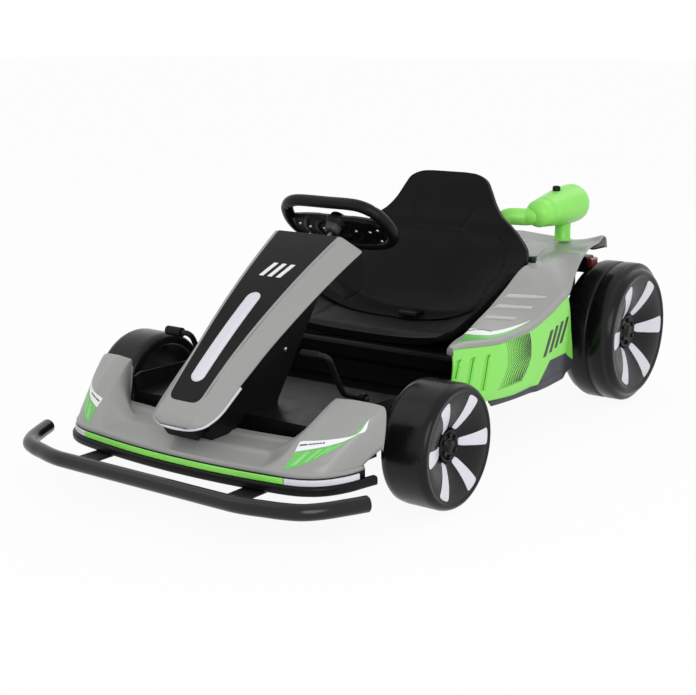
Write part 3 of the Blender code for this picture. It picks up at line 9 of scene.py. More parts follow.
import bmesh
import bpy
import numpy as np
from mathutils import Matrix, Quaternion, Vector


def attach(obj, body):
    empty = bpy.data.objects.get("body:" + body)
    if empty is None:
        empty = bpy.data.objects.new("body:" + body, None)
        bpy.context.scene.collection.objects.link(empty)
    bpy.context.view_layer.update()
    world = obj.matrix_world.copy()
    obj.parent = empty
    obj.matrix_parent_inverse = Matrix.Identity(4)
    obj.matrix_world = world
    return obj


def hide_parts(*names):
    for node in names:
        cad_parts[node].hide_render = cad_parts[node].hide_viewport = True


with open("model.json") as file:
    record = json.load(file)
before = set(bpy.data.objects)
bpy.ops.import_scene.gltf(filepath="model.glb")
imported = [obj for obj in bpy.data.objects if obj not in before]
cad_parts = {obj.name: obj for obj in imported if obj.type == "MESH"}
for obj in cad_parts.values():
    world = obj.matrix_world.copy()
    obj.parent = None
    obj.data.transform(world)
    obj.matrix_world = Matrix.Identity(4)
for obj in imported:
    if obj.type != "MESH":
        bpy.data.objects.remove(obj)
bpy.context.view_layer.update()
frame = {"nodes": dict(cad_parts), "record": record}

FOOTPRINT_SHIFT = np.array([0.0, -0.0105, 0.0])
SIDES = ((1, "left"), (-1, "right"))


# Curves and tables

def smooth_line(points, count, closed=False):
    """Cubic Hermite pieces over the chord length; each tangent is the mean slope of the two chords there."""
    p = np.asarray(points, float)
    if closed:
        p = np.vstack([p[-2:], p, p[:3]])
    t = np.concatenate([[0.0], np.cumsum(np.linalg.norm(np.diff(p, axis=0), axis=1))])
    slope = np.diff(p, axis=0) / np.diff(t)[:, None]
    tangent = np.vstack([slope[:1], (slope[1:] + slope[:-1]) / 2, slope[-1:]])
    low, high = (t[2], t[-3]) if closed else (t[0], t[-1])
    at = np.linspace(low, high, count, endpoint=not closed)
    k = np.clip(np.searchsorted(t, at, side="right") - 1, 0, len(t) - 2)
    h = (t[k + 1] - t[k])[:, None]
    s = (at - t[k])[:, None] / h
    return ((2 * s ** 3 - 3 * s ** 2 + 1) * p[k] + (s ** 3 - 2 * s ** 2 + s) * h * tangent[k]
            + (3 * s ** 2 - 2 * s ** 3) * p[k + 1] + (s ** 3 - s ** 2) * h * tangent[k + 1])


def reading(table, column, at):
    """A column of a table at places along its first column, as Hermite pieces that never overshoot:
    the slope at an entry is the weighted harmonic mean of the straight slopes on its two sides."""
    t = np.asarray(table, float)
    x, v = t[:, 0], t[:, column]
    h = np.diff(x)
    d = np.diff(v) / h
    same = d[1:] * d[:-1] > 0
    first, second = np.where(same, d[:-1], 1.0), np.where(same, d[1:], 1.0)
    w1, w2 = 2 * h[1:] + h[:-1], h[1:] + 2 * h[:-1]
    inner = np.where(same, (w1 + w2) / (w1 / first + w2 / second), 0.0)
    m = np.concatenate([d[:1], inner, d[-1:]])
    at = np.clip(at, x[0], x[-1])
    k = np.clip(np.searchsorted(x, at, side="right") - 1, 0, len(x) - 2)
    s = (at - x[k]) / h[k]
    return ((2 * s ** 3 - 3 * s ** 2 + 1) * v[k] + (s ** 3 - 2 * s ** 2 + s) * h[k] * m[k]
            + (3 * s ** 2 - 2 * s ** 3) * v[k + 1] + (s ** 3 - s ** 2) * h[k] * m[k + 1])


def along_polyline(corners, count, blur):
    """Points at equal steps along a many-cornered line, its corners rounded by a running mean.
    Corners has the shape (stations, corners, 3), and blur is the half width of the mean in steps."""
    corners = np.asarray(corners, float)
    run = np.linalg.norm(np.diff(corners, axis=1), axis=2).mean(axis=0)
    t = np.concatenate([[0.0], np.cumsum(run)]) / run.sum()
    at = np.linspace(0.0, 1.0, count)
    k = np.clip(np.searchsorted(t, at, side="right") - 1, 0, len(t) - 2)
    s = ((at - t[k]) / (t[k + 1] - t[k]))[None, :, None]
    line = corners[:, k] * (1 - s) + corners[:, k + 1] * s
    padded = np.concatenate([line[:, :1].repeat(blur, 1), line, line[:, -1:].repeat(blur, 1)], axis=1)
    total = np.cumsum(padded, axis=1)
    total = np.concatenate([np.zeros_like(total[:, :1]), total], axis=1)
    width = 2 * blur + 1
    mean = (total[:, width:] - total[:, :-width]) / width
    mean[:, 0], mean[:, -1] = line[:, 0], line[:, -1]
    return mean


def soft_step(x, low, high):
    """0 below low, 1 above high, and the cubic 3s^2 - 2s^3 between."""
    s = np.clip((x - low) / (high - low), 0.0, 1.0)
    return s * s * (3 - 2 * s)


def rounded_box(a_low, a_high, b_low, b_high, radius, steps=5):
    """Closed outline of a box with round corners, as (a, b) points from the lower left, anticlockwise."""
    turn = np.linspace(0, math.pi / 2, steps)
    centres = [(a_high - radius, b_low + radius, -math.pi / 2), (a_high - radius, b_high - radius, 0.0),
               (a_low + radius, b_high - radius, math.pi / 2), (a_low + radius, b_low + radius, math.pi)]
    arcs = [np.stack([a + radius * np.cos(turn + start), b + radius * np.sin(turn + start)], axis=1)
            for a, b, start in centres]
    return np.vstack(arcs)


def unit(v):
    """Vectors along the last axis, scaled to length 1."""
    return v / np.maximum(np.linalg.norm(v, axis=-1, keepdims=True), 1e-12)


# Meshes and pieces

def grid_faces(rows, cols, wrap_rows, wrap_cols, offset=0):
    """Corner numbers of the four-sided faces of a grid, optionally joined round either way."""
    i = np.arange(rows if wrap_rows else rows - 1)[:, None]
    j = np.arange(cols if wrap_cols else cols - 1)[None, :]
    i2, j2 = (i + 1) % rows, (j + 1) % cols
    quads = np.stack([i * cols + j, i * cols + j2, i2 * cols + j2, i2 * cols + j], axis=-1)
    return (quads.reshape(-1, 4) + offset).tolist()


def make_mesh(name, points, faces, outward=None, crease=38):
    """A mesh moved to the footprint's middle, doubles merged, faces outwards, smooth up to the crease angle.
    Without an outward direction the body is closed; with one, it is a sheet that faces that way."""
    mesh = bpy.data.meshes.new(name)
    mesh.from_pydata((points.reshape(-1, 3) + FOOTPRINT_SHIFT).tolist(), [], faces)
    bm = bmesh.new()
    bm.from_mesh(mesh)
    bmesh.ops.remove_doubles(bm, verts=bm.verts, dist=1e-6)
    if outward is None:
        bmesh.ops.recalc_face_normals(bm, faces=bm.faces)
    else:
        bm.normal_update()
        facing = sum((f.normal * f.calc_area() for f in bm.faces), Vector())
        if facing.dot(Vector(outward)) < 0:
            bmesh.ops.reverse_faces(bm, faces=bm.faces)
    bm.to_mesh(mesh)
    bm.free()
    mesh.shade_smooth()
    mesh.set_sharp_from_angle(angle=math.radians(crease))
    return mesh


def loft(name, rings, closed_run=False, crease=38):
    """A closed body through rings of points (stations, ring, 3), with flat ends unless it runs round."""
    stations, count = rings.shape[:2]
    faces = grid_faces(stations, count, closed_run, True)
    if not closed_run:
        faces += [list(range(count)), list(range((stations - 1) * count, stations * count))]
    return make_mesh(name, rings, faces, crease=crease)


def sheet(name, points, outward, crease=38):
    """An open sheet over a grid of points."""
    return make_mesh(name, points, grid_faces(*points.shape[:2], False, False), outward, crease)


def slab(name, top, bottom, crease=38):
    """A closed body between two grids of the same shape."""
    rows, cols = top.shape[:2]
    ring = np.stack([top, bottom])
    faces = grid_faces(rows, cols, False, False) + grid_faces(rows, cols, False, False, rows * cols)
    edge = np.concatenate([
        np.arange(cols), np.arange(1, rows) * cols + cols - 1,
        (rows - 1) * cols + np.arange(cols - 2, -1, -1), np.arange(rows - 2, 0, -1) * cols])
    after = np.roll(edge, -1)
    sides = np.stack([edge, after, after + rows * cols, edge + rows * cols], axis=1)
    return make_mesh(name, ring, faces + sides.tolist(), crease=crease)


def turned(profile, segments, centre, axis):
    """Rings of a profile of (radius, height) points spun about an axis, with heights from the centre."""
    profile = np.asarray(profile, float)
    axis = unit(np.asarray(axis, float))
    helper = np.array([0.0, 0.0, 1.0]) if abs(axis[2]) < 0.9 else np.array([1.0, 0.0, 0.0])
    side = unit(np.cross(helper, axis))
    up = np.cross(axis, side)
    a = np.linspace(0, 2 * math.pi, segments, endpoint=False)
    spoke = np.cos(a)[:, None] * side + np.sin(a)[:, None] * up
    return (np.asarray(centre, float) + profile[:, None, :1] * spoke[None]
            + profile[:, None, 1:] * axis)


def turned_body(name, profile, segments, centre, axis, crease=38):
    """A solid of revolution whose profile starts and ends on the axis."""
    rings = turned(profile, segments, centre, axis)
    return make_mesh(name, rings, grid_faces(*rings.shape[:2], False, True), crease=crease)


def tube(path, radius, sides=20):
    """Rings of a round tube along a path: each ring is square to the path, and radius may change along it."""
    path = np.asarray(path, float)
    run = unit(np.gradient(path, axis=0))
    never_zero = np.array([1e-9, 2e-9, 1e-8])
    plane = unit(np.cross(path[len(path) // 2] - path[0], path[-1] - path[0]) + never_zero)
    side = unit(np.cross(run, plane))
    up = np.cross(side, run)
    a = np.linspace(0, 2 * math.pi, sides, endpoint=False)
    radius = np.broadcast_to(radius, len(path))[:, None, None]
    spoke = np.cos(a)[None, :, None] * side[:, None] + np.sin(a)[None, :, None] * up[:, None]
    return path[:, None] + radius * spoke


def round_ended(path, radius, ends=7):
    """A path and its radii with half-round ends: the radius follows a quarter circle over its own length."""
    path = np.asarray(path, float)
    a = np.linspace(0, math.pi / 2, ends)[:-1]
    first, last = unit(path[0] - path[1]), unit(path[-1] - path[-2])
    head = path[0] + first * (radius * np.cos(a))[:, None]
    tail = path[-1] + last * (radius * np.cos(a[::-1]))[:, None]
    shrink = np.maximum(radius * np.sin(a), radius * 0.02)
    radii = np.concatenate([shrink, np.full(len(path), radius), shrink[::-1]])
    return np.vstack([head, path, tail]), radii


def skin_patch(name, face, corners, counts, lift, sink):
    """A thin plate lying on a surface. Face maps arrays (u, v) to points, and corners are four (u, v) places
    in order round the plate; between them the plate's places are mixed in proportion along both sides."""
    s = np.linspace(0, 1, counts[0])[:, None]
    t = np.linspace(0, 1, counts[1])[None, :]
    c = np.asarray(corners, float)
    uv = (c[0] * ((1 - s) * (1 - t))[..., None] + c[1] * (s * (1 - t))[..., None]
          + c[2] * (s * t)[..., None] + c[3] * ((1 - s) * t)[..., None])
    return patch_on(name, face, uv[..., 0], uv[..., 1], lift, sink)


def face_normal(face, u, v, outward):
    """Unit normals of a surface by small differences both ways, turned to the outward side."""
    e = 1e-4
    across = face(u + e, v) - face(u - e, v)
    down = face(u, v + e) - face(u, v - e)
    normal = unit(np.cross(across, down))
    return normal * np.where((normal @ np.asarray(outward, float)) < 0, -1.0, 1.0)[..., None]


def patch_on(name, face, u, v, lift, sink, taper=0.0):
    """A plate over places of a surface, lifted off it above and sunk below, its rim lowered by taper."""
    surface, outward = face
    points = surface(u, v)
    normal = face_normal(surface, u, v, outward)
    height = np.broadcast_to(lift, u.shape).copy()
    if taper:
        height[[0, -1]] -= taper
        height[1:-1, [0, -1]] -= taper
    return slab(name, points + normal * height[..., None], points - normal * sink)


def band_on(name, face, upper, lower, lift, count=48, across=7):
    """A thin plate between two smooth lines of (u, v) places on a surface, mixed in proportion across."""
    mix = np.linspace(0, 1, across)[None, :, None]
    uv = smooth_line(upper, count)[:, None] * (1 - mix) + smooth_line(lower, count)[:, None] * mix
    return patch_on(name, face, uv[..., 0], uv[..., 1], lift, 0.0003)


def piece(name, mesh, material, body, slot, *nodes):
    """Links a finished mesh as a piece that rides on a body and stands for the given CAD nodes."""
    obj = bpy.data.objects.new(name, mesh)
    bpy.context.scene.collection.objects.link(obj)
    mesh.materials.append(material)
    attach(obj, body)
    if nodes:
        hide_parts(*nodes)
    return obj


def wall(obj, thickness):
    """Gives a sheet its thickness, inwards."""
    modifier = obj.modifiers.new("wall", "SOLIDIFY")
    modifier.thickness = thickness
    modifier.offset = -1.0
    modifier.use_even_offset = True


# Materials

def linear(red, green, blue):
    """A display colour of 0 to 255 as linear values."""
    c = np.array([red, green, blue]) / 255
    return tuple(float(v) for v in np.where(c <= 0.04045, c / 12.92, ((c + 0.055) / 1.055) ** 2.4)) + (1.0,)


def new_group(name, inputs, outputs):
    """An empty shader group with named sockets: (kind, name, default) in, (kind, name) out."""
    group = bpy.data.node_groups.new(name, "ShaderNodeTree")
    for kind, label, default in inputs:
        socket = group.interface.new_socket(label, in_out="INPUT", socket_type=kind)
        socket.default_value = default
    for kind, label in outputs:
        group.interface.new_socket(label, in_out="OUTPUT", socket_type=kind)
    return group, group.nodes.new("NodeGroupInput"), group.nodes.new("NodeGroupOutput")


def put(node, values):
    """Sets inputs of a node, by name or number."""
    for socket, value in values.items():
        node.inputs[socket].default_value = value


def add(nodes, kind, values=None, **settings):
    """A node with its plain settings and the values of some of its inputs."""
    node = nodes.new(kind)
    for key, value in settings.items():
        setattr(node, key, value)
    put(node, values or {})
    return node


def wire(links, *rows):
    """Links rows of (node, its output, next node, its input)."""
    for source, output, target, socket in rows:
        links.new(source.outputs[output], target.inputs[socket])


def new_material(name):
    """A new material with its nodes, links and shader."""
    material = bpy.data.materials.new(name)
    material.use_nodes = True
    tree = material.node_tree
    return material, tree.nodes, tree.links, tree.nodes["Principled BSDF"]


def moulded_group():
    """Moulded plastic: slow drift of colour, faint rubbed patches in the gloss and a fine grain."""
    group, source, result = new_group(
        "moulded surface",
        [("NodeSocketColor", "Colour", (0.5, 0.5, 0.5, 1)), ("NodeSocketFloat", "Drift", 0.05),
         ("NodeSocketFloat", "Roughness", 0.35), ("NodeSocketFloat", "Rubbing", 0.06),
         ("NodeSocketFloat", "Grain Scale", 900.0), ("NodeSocketFloat", "Grain Depth", 0.04)],
        [("NodeSocketColor", "Colour"), ("NodeSocketFloat", "Roughness"), ("NodeSocketVector", "Normal")])
    nodes = group.nodes
    place = add(nodes, "ShaderNodeTexCoord")
    drift = add(nodes, "ShaderNodeTexNoise", {"Scale": 7.0, "Detail": 3.0})
    shade = add(nodes, "ShaderNodeMapRange", {"From Min": 0.3, "From Max": 0.7, "To Min": -1.0})
    amount = add(nodes, "ShaderNodeMath", operation="MULTIPLY")
    value = add(nodes, "ShaderNodeMath", {1: 1.0}, operation="ADD")
    tint = add(nodes, "ShaderNodeHueSaturation")
    rub = add(nodes, "ShaderNodeTexNoise", {"Scale": 26.0, "Detail": 6.0, "Roughness": 0.65})
    rub_range = add(nodes, "ShaderNodeMapRange",
                    {"From Min": 0.35, "From Max": 0.65, "To Min": -0.5, "To Max": 0.5})
    rub_amount = add(nodes, "ShaderNodeMath", operation="MULTIPLY_ADD")
    grain = add(nodes, "ShaderNodeTexNoise", {"Detail": 2.0})
    bump = add(nodes, "ShaderNodeBump", {"Distance": 0.0004})
    for noise in (drift, rub, grain):
        wire(group.links, (place, "Object", noise, "Vector"))
    wire(group.links,
         (drift, "Fac", shade, "Value"), (shade, "Result", amount, 0), (source, "Drift", amount, 1),
         (amount, "Value", value, 0), (value, "Value", tint, "Value"), (source, "Colour", tint, "Color"),
         (rub, "Fac", rub_range, "Value"), (rub_range, "Result", rub_amount, 0),
         (source, "Rubbing", rub_amount, 1), (source, "Roughness", rub_amount, 2),
         (source, "Grain Scale", grain, "Scale"), (source, "Grain Depth", bump, "Strength"),
         (grain, "Fac", bump, "Height"), (tint, "Color", result, "Colour"),
         (rub_amount, "Value", result, "Roughness"), (bump, "Normal", result, "Normal"))
    return group


MOULDED = moulded_group()


def moulded(name, colour, roughness, drift, rubbing, grain_scale, grain_depth, **sockets):
    """A material that takes the shared moulded surface; further sockets of its shader are set by name."""
    material, nodes, links, shader = new_material(name)
    values = {"Colour": colour, "Drift": drift, "Roughness": roughness, "Rubbing": rubbing,
              "Grain Scale": grain_scale, "Grain Depth": grain_depth}
    surface = add(nodes, "ShaderNodeGroup", values, node_tree=MOULDED)
    wire(links, (surface, "Colour", shader, "Base Color"), (surface, "Roughness", shader, "Roughness"),
         (surface, "Normal", shader, "Normal"))
    put(shader, {label.replace("_", " "): value for label, value in sockets.items()})
    return material


def grey_panel():
    """Light warm grey body panels, smooth and slightly glossy."""
    return moulded("grey panel", linear(153, 154, 151), 0.34, 0.02, 0.08, 1400.0, 0.03)


def green_panel():
    """Lime green side panels and muffler."""
    return moulded("green panel", linear(142, 234, 96), 0.34, 0.02, 0.08, 1400.0, 0.03)


def pale_trim():
    """Pale lilac white inserts and strips."""
    return moulded("pale trim", linear(222, 221, 230), 0.32, 0.015, 0.06, 1500.0, 0.02)


def black_panel():
    """Satin black moulded parts."""
    return moulded("black panel", linear(15, 15, 16), 0.34, 0.10, 0.12, 700.0, 0.08, Specular_IOR_Level=0.16)


def black_seat():
    """Finely grained black seat shell."""
    return moulded("black seat", linear(16, 16, 17), 0.46, 0.08, 0.12, 420.0, 0.20, Specular_IOR_Level=0.10)


def black_wheel():
    """Hard satin black wheels, a little polished."""
    return moulded("black wheel", linear(15, 15, 16), 0.27, 0.10, 0.14, 600.0, 0.06, Specular_IOR_Level=0.22)


def gloss_black():
    """Gloss black column panel."""
    return moulded("gloss black", linear(8, 8, 9), 0.16, 0.05, 0.05, 1500.0, 0.01, Specular_IOR_Level=0.12)


def rib_grey_painted_highlight():
    """The deck's grey, polished, made lighter on the raised ribs: a painted highlight for their lit tops."""
    return moulded("rib grey with painted highlight", linear(186, 187, 184), 0.26, 0.02, 0.06, 1400.0, 0.02)


def slate_sill():
    """Satin dark blue grey sills."""
    return moulded("slate sill", linear(60, 63, 71), 0.42, 0.05, 0.10, 800.0, 0.08, Specular_IOR_Level=0.3)


def frame_paint():
    """Powder-coated black steel."""
    return moulded("frame paint", linear(20, 20, 21), 0.42, 0.08, 0.12, 380.0, 0.30, Specular_IOR_Level=0.18)


def zinc_steel():
    """Bright zinc plating with a patchy gloss."""
    return moulded("zinc steel", linear(190, 192, 196), 0.30, 0.06, 0.25, 260.0, 0.10, Metallic=0.95)


def red_lens():
    """Clear red plastic lens."""
    return moulded("red lens", linear(128, 14, 14), 0.22, 0.05, 0.05, 900.0, 0.02, Coat_Weight=0.4)


def gloss_tube():
    """Gloss black powder coat of the bumper."""
    return moulded("gloss tube", linear(10, 10, 11), 0.20, 0.05, 0.05, 900.0, 0.03, Specular_IOR_Level=0.38)


def print_and_shade_film(name, colour):
    """Film laid on a panel: printed marks, and also the gills' painted shade lines."""
    return moulded(name, colour, 0.30, 0.02, 0.06, 1500.0, 0.01)


def black_webbing():
    """Woven strap: ribs across the strap and finer threads along it, in its own coordinates."""
    material, nodes, links, shader = new_material("black webbing")
    place = add(nodes, "ShaderNodeTexCoord")
    ribs = add(nodes, "ShaderNodeTexWave", {"Scale": 190.0}, wave_type="BANDS", bands_direction="Y")
    threads = add(nodes, "ShaderNodeTexWave", {"Scale": 260.0, "Distortion": 0.6}, wave_type="BANDS",
                  bands_direction="X")
    weave = add(nodes, "ShaderNodeMath", operation="MULTIPLY")
    colour = add(nodes, "ShaderNodeMix", {"A": linear(12, 12, 13), "B": linear(30, 30, 32)}, data_type="RGBA")
    bump = add(nodes, "ShaderNodeBump", {"Strength": 0.5, "Distance": 0.0006})
    wire(links, (place, "Object", ribs, "Vector"), (place, "Object", threads, "Vector"),
         (ribs, "Fac", weave, 0), (threads, "Fac", weave, 1), (weave, "Value", colour, "Factor"),
         (weave, "Value", bump, "Height"), (colour, "Result", shader, "Base Color"),
         (bump, "Normal", shader, "Normal"))
    put(shader, {"Roughness": 0.8, "Specular IOR Level": 0.1})
    return material


GREY, GREEN, PALE, BLACK = grey_panel(), green_panel(), pale_trim(), black_panel()
GRAINED, TURNED, GLOSS, SLATE = black_seat(), black_wheel(), gloss_black(), slate_sill()
PAINT, ZINC, RED, WEBBING = frame_paint(), zinc_steel(), red_lens(), black_webbing()
RIB_HIGHLIGHT, GLOSS_TUBE = rib_grey_painted_highlight(), gloss_tube()
FILM_WHITE = print_and_shade_film("white film", linear(240, 243, 244))
FILM_GREEN = print_and_shade_film("green film", linear(106, 196, 92))
FILM_BLACK = print_and_shade_film("black film", linear(18, 18, 19))
FILM_LIME = print_and_shade_film("lime film", linear(140, 214, 128))
# painted shade: a dark green film that stands in for the shadow along each gill's step
PAINTED_GILL_SHADE = print_and_shade_film("painted gill shade", linear(70, 140, 52))


def dress_solids():
    """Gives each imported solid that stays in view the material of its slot."""
    finish = {"grey_panel": GREY, "green_panel": GREEN, "black_plastic": BLACK, "gloss_black": GLOSS,
              "pale_trim": PALE, "wheel_plastic": TURNED, "frame_paint": PAINT, "zinc_steel": ZINC,
              "slate_plastic": SLATE, "seat_plastic": GRAINED, "webbing": WEBBING, "red_lens": RED}
    for part in frame["record"]["subparts"]:
        node = frame["nodes"][part["node"]]
        node.data.materials.clear()
        node.data.materials.append(finish[part["material_slot"]])


# Wheels

FRONT_AXLE_Y, REAR_AXLE_Y = -0.271, 0.507
WHEEL_SEGMENTS = 144
PETAL_COUNT = 6


def dish_height(r, rim, dish):
    """Depth of a wheel's face at a radius: steep near the hub and flatter outwards, a power of 1.8."""
    share = np.clip((r - 0.27 * rim) / (0.60 * rim), 0.0, 1.0)
    return -dish + 0.92 * dish * (1 - (1 - share) ** 1.8)


def wheel_section(radius, rim, width, dish):
    """(radius, height) outline of a wheel from its bore over face, shoulder, tread and inner side."""
    face = np.linspace(0.27, 0.87, 22) * rim
    dished = np.stack([face, dish_height(face, rim, dish)], axis=1)
    shoulder = [(0.885 * rim, -0.0012), (0.905 * rim, -0.0003), (0.93 * rim, -0.0006), (0.955 * rim, -0.0022),
                (0.975 * rim, -0.0050), (0.990 * rim, -0.0085)]
    if radius > rim:
        step = (radius - rim) * 0.35
        tread = [(rim, -0.0115), (rim + 0.4 * (radius - rim), -0.0135), (radius - 0.0012, -0.0158),
                 (radius, -0.0185), (radius, -0.0430), (radius - 0.0010, -0.0448), (radius - step, -0.0462),
                 (radius - step, -0.0506), (radius - 0.0010, -0.0520), (radius, -0.0538),
                 (radius, -width + 0.0270), (radius - 0.0020, -width + 0.0210),
                 (rim + 0.0010, -width + 0.0080)]
    else:
        tread = [(0.9985 * rim, -0.0120), (rim, -0.0160), (rim, -width + 0.0180),
                 (0.9985 * rim, -width + 0.0140)]
    back = [(0.985 * rim, -width + 0.0050), (0.955 * rim, -width + 0.0010), (0.93 * rim, -width),
            (0.82 * rim, -width), (0.795 * rim, -width + 0.0020), (0.77 * rim, -width + 0.0270),
            (0.31 * rim, -width + 0.0280), (0.275 * rim, -width + 0.0020), (0.26 * rim, -width),
            (0.006, -width)]
    hub = [(0.006, -dish - 0.004), (0.24 * rim, -dish - 0.004), (0.255 * rim, -dish - 0.002)]
    return np.vstack([hub, dished, shoulder, tread, back])


def petal_places(rim, middle, count_along=22, count_across=13):
    """(radius, angle) places of one wedge insert, round at its corners: half width grows with the radius."""
    along = np.linspace(0.0, 1.0, count_along)[:, None]
    across = np.linspace(-1.0, 1.0, count_across)[None, :]
    corner = 0.075
    ease = np.clip(np.minimum(along, 1 - along) / corner, 0.0, 1.0)
    narrowed = 1 - 0.22 * (1 - np.sqrt(1 - (1 - ease) ** 2))
    half = (0.062 + 0.078 * along) * narrowed
    bow = 0.012 * (1 - across ** 2) * soft_step(along, 0.7, 1.0)
    reach = 0.285 + 0.545 * along + bow
    width = half * across
    return np.hypot(reach, width) * rim, middle + np.arctan2(width, reach)


WHEEL_SIZES = (
    # place, radius, radius of the rim, width, depth of the dish, x of the outer face, y of the axle
    ("front", 0.102, 0.102, 0.083, 0.023, 0.353, FRONT_AXLE_Y),
    ("rear", 0.140, 0.130, 0.110, 0.029, 0.296, REAR_AXLE_Y),
)


def make_hub(tag, centre, axis, rim, base):
    """Hub ring, centre cap and six nuts; heights run outwards from the bottom of the dish."""
    body = "wheel_" + tag
    ring = [(0.0, base + 0.0040), (0.135 * rim, base + 0.0040), (0.150 * rim, base + 0.0022),
            (0.205 * rim, base + 0.0022), (0.225 * rim, base + 0.0034), (0.250 * rim, base + 0.0030),
            (0.262 * rim, base + 0.0010), (0.262 * rim, base - 0.0020), (0.0, base - 0.0020)]
    mesh = turned_body("hub_" + tag, ring, 96, centre, axis)
    piece("hub_" + tag, mesh, BLACK, body, "black_plastic", "hub_cap_" + tag)
    cap = [(0.0, base + 0.0085), (0.040 * rim, base + 0.0083), (0.075 * rim, base + 0.0072),
           (0.098 * rim, base + 0.0052), (0.105 * rim, base + 0.0030), (0.105 * rim, base + 0.0010),
           (0.0, base + 0.0010)]
    piece("cap_" + tag, turned_body("cap_" + tag, cap, 64, centre, axis), PAINT, body, "frame_paint")
    nut = [(0.0, base + 0.0072), (0.0030, base + 0.0072), (0.0042, base + 0.0062), (0.0044, base + 0.0020),
           (0.0, base + 0.0020)]
    for k in range(PETAL_COUNT):
        angle = (k + 0.5) * 2 * math.pi / PETAL_COUNT
        spot = centre + 0.178 * rim * np.array([0.0, math.cos(angle), math.sin(angle)])
        mesh = turned_body("nut", nut, 6, spot, axis, crease=20)
        piece("nut_%s_%d" % (tag, k), mesh, PAINT, body, "frame_paint")


def make_wheel(side, word, place, radius, rim, width, dish, face_x, axle_y):
    """A wheel with its inserts and hub. Heights run outwards from the wheel's outer face."""
    tag = place + "_" + word
    body = "wheel_" + tag
    centre = np.array([side * face_x, axle_y, radius])
    axis = np.array([side, 0.0, 0.0])
    rings = turned(wheel_section(radius, rim, width, dish), WHEEL_SEGMENTS, centre, axis)
    mesh = make_mesh("tyre_" + tag, rings, grid_faces(*rings.shape[:2], True, True), crease=32)
    piece("tyre_" + tag, mesh, TURNED, body, "wheel_plastic", "wheel_" + tag)

    def face(r, angle):
        height = dish_height(r, rim, dish)
        return centre + np.stack([side * height, r * np.cos(angle), r * np.sin(angle)], axis=-1)

    for k in range(PETAL_COUNT):
        r, angle = petal_places(rim, k * 2 * math.pi / PETAL_COUNT)
        mesh = patch_on("insert", (face, axis), r, angle, 0.0016, 0.0010, 0.0009)
        piece("insert_%s_%d" % (tag, k), mesh, PALE, body, "pale_trim", "wheel_trim_" + tag)
    make_hub(tag, centre, axis, rim, -dish + 0.0004)


def make_wheels():
    """Two steered front wheels and two larger rear wheels."""
    for side, word in SIDES:
        for sizes in WHEEL_SIZES:
            make_wheel(side, word, *sizes)


# Nose

NOSE_LINE = [
    # half of the nose's front edge, seen from above
    (0.0000, -0.5485), (0.0500, -0.5474), (0.1000, -0.5442), (0.1400, -0.5401), (0.1700, -0.5361),
    (0.2076, -0.5303), (0.2200, -0.5273), (0.2312, -0.5235), (0.2420, -0.5180), (0.2517, -0.5115),
    (0.2600, -0.5035), (0.2670, -0.4940), (0.2733, -0.4825), (0.2785, -0.4700), (0.2822, -0.4575),
    (0.2848, -0.4440), (0.2890, -0.4250), (0.2950, -0.4000),
]
NOSE_HALF = smooth_line(NOSE_LINE, 500)
NOSE_EDGE = np.vstack([NOSE_HALF[:0:-1] * (-1, 1), NOSE_HALF])
NOSE_RUN = np.concatenate([[0.0], np.cumsum(np.linalg.norm(np.diff(NOSE_EDGE, axis=0), axis=1))])
NOSE_TANGENT = np.gradient(NOSE_EDGE, NOSE_RUN, axis=0)
NOSE_OUT = unit(NOSE_TANGENT[:, ::-1] * (1, -1))
STRIP_LOW, STRIP_HIGH = 0.0848, 0.0945
LIP_LOW, LIP_HIGH = 0.0965, 0.1040


def nose_at(run, out):
    """Point (x, y) at a length along the nose's front edge, moved out square to it."""
    x = np.interp(run, NOSE_RUN, NOSE_EDGE[:, 0]) + out * np.interp(run, NOSE_RUN, NOSE_OUT[:, 0])
    y = np.interp(run, NOSE_RUN, NOSE_EDGE[:, 1]) + out * np.interp(run, NOSE_RUN, NOSE_OUT[:, 1])
    return x, y


def run_of(x):
    """Length along the nose's front edge at a place across it."""
    return np.interp(x, NOSE_EDGE[:, 0], NOSE_RUN)


def nose_sweep(name, outline, x_from, x_to, count):
    """A closed outline of (out, z) points carried along the nose's front edge."""
    outline = np.asarray(outline, float)
    share = np.linspace(0, 1, count)[:, None]
    start, end = run_of(x_from), run_of(x_to)
    x, y = nose_at(start + (end - start) * share, outline[None, :, 0])
    z = np.broadcast_to(outline[None, :, 1], x.shape)
    return loft(name, np.stack([x, y, z], axis=-1))


def make_strips():
    """Black moulding, green strip, the two pale strips beside it, and above them a black backing that paints
    the gap's shade.
    """
    moulding = rounded_box(-0.006, 0.007, 0.0700, 0.0845, 0.0042, 7)
    piece("nose_moulding", nose_sweep("nose_moulding", moulding, -0.2915, 0.2915, 161), BLACK, "chassis",
          "black_plastic", "bumper_moulding")
    # painted shade: a black backing shows in the gap between the strips and the lip
    seam = rounded_box(-0.0060, 0.0004, STRIP_LOW - 0.0006, LIP_LOW + 0.0004, 0.0010, 3)
    piece("nose_gap_shade", nose_sweep("nose_gap_shade", seam, -0.2850, 0.2850, 161), BLACK, "chassis", "black_plastic")
    strip = rounded_box(-0.005, 0.0022, STRIP_LOW, STRIP_HIGH, 0.0014, 4)
    piece("nose_light", nose_sweep("nose_light", strip, -0.2085, 0.2085, 101), GREEN, "chassis",
          "green_panel", "light_strip")
    for side, word in SIDES:
        mesh = nose_sweep("nose_pale_" + word, strip, side * 0.2100, side * 0.2845, 61)
        piece("nose_pale_" + word, mesh, PALE, "chassis", "pale_trim", "pale_strip_" + word)


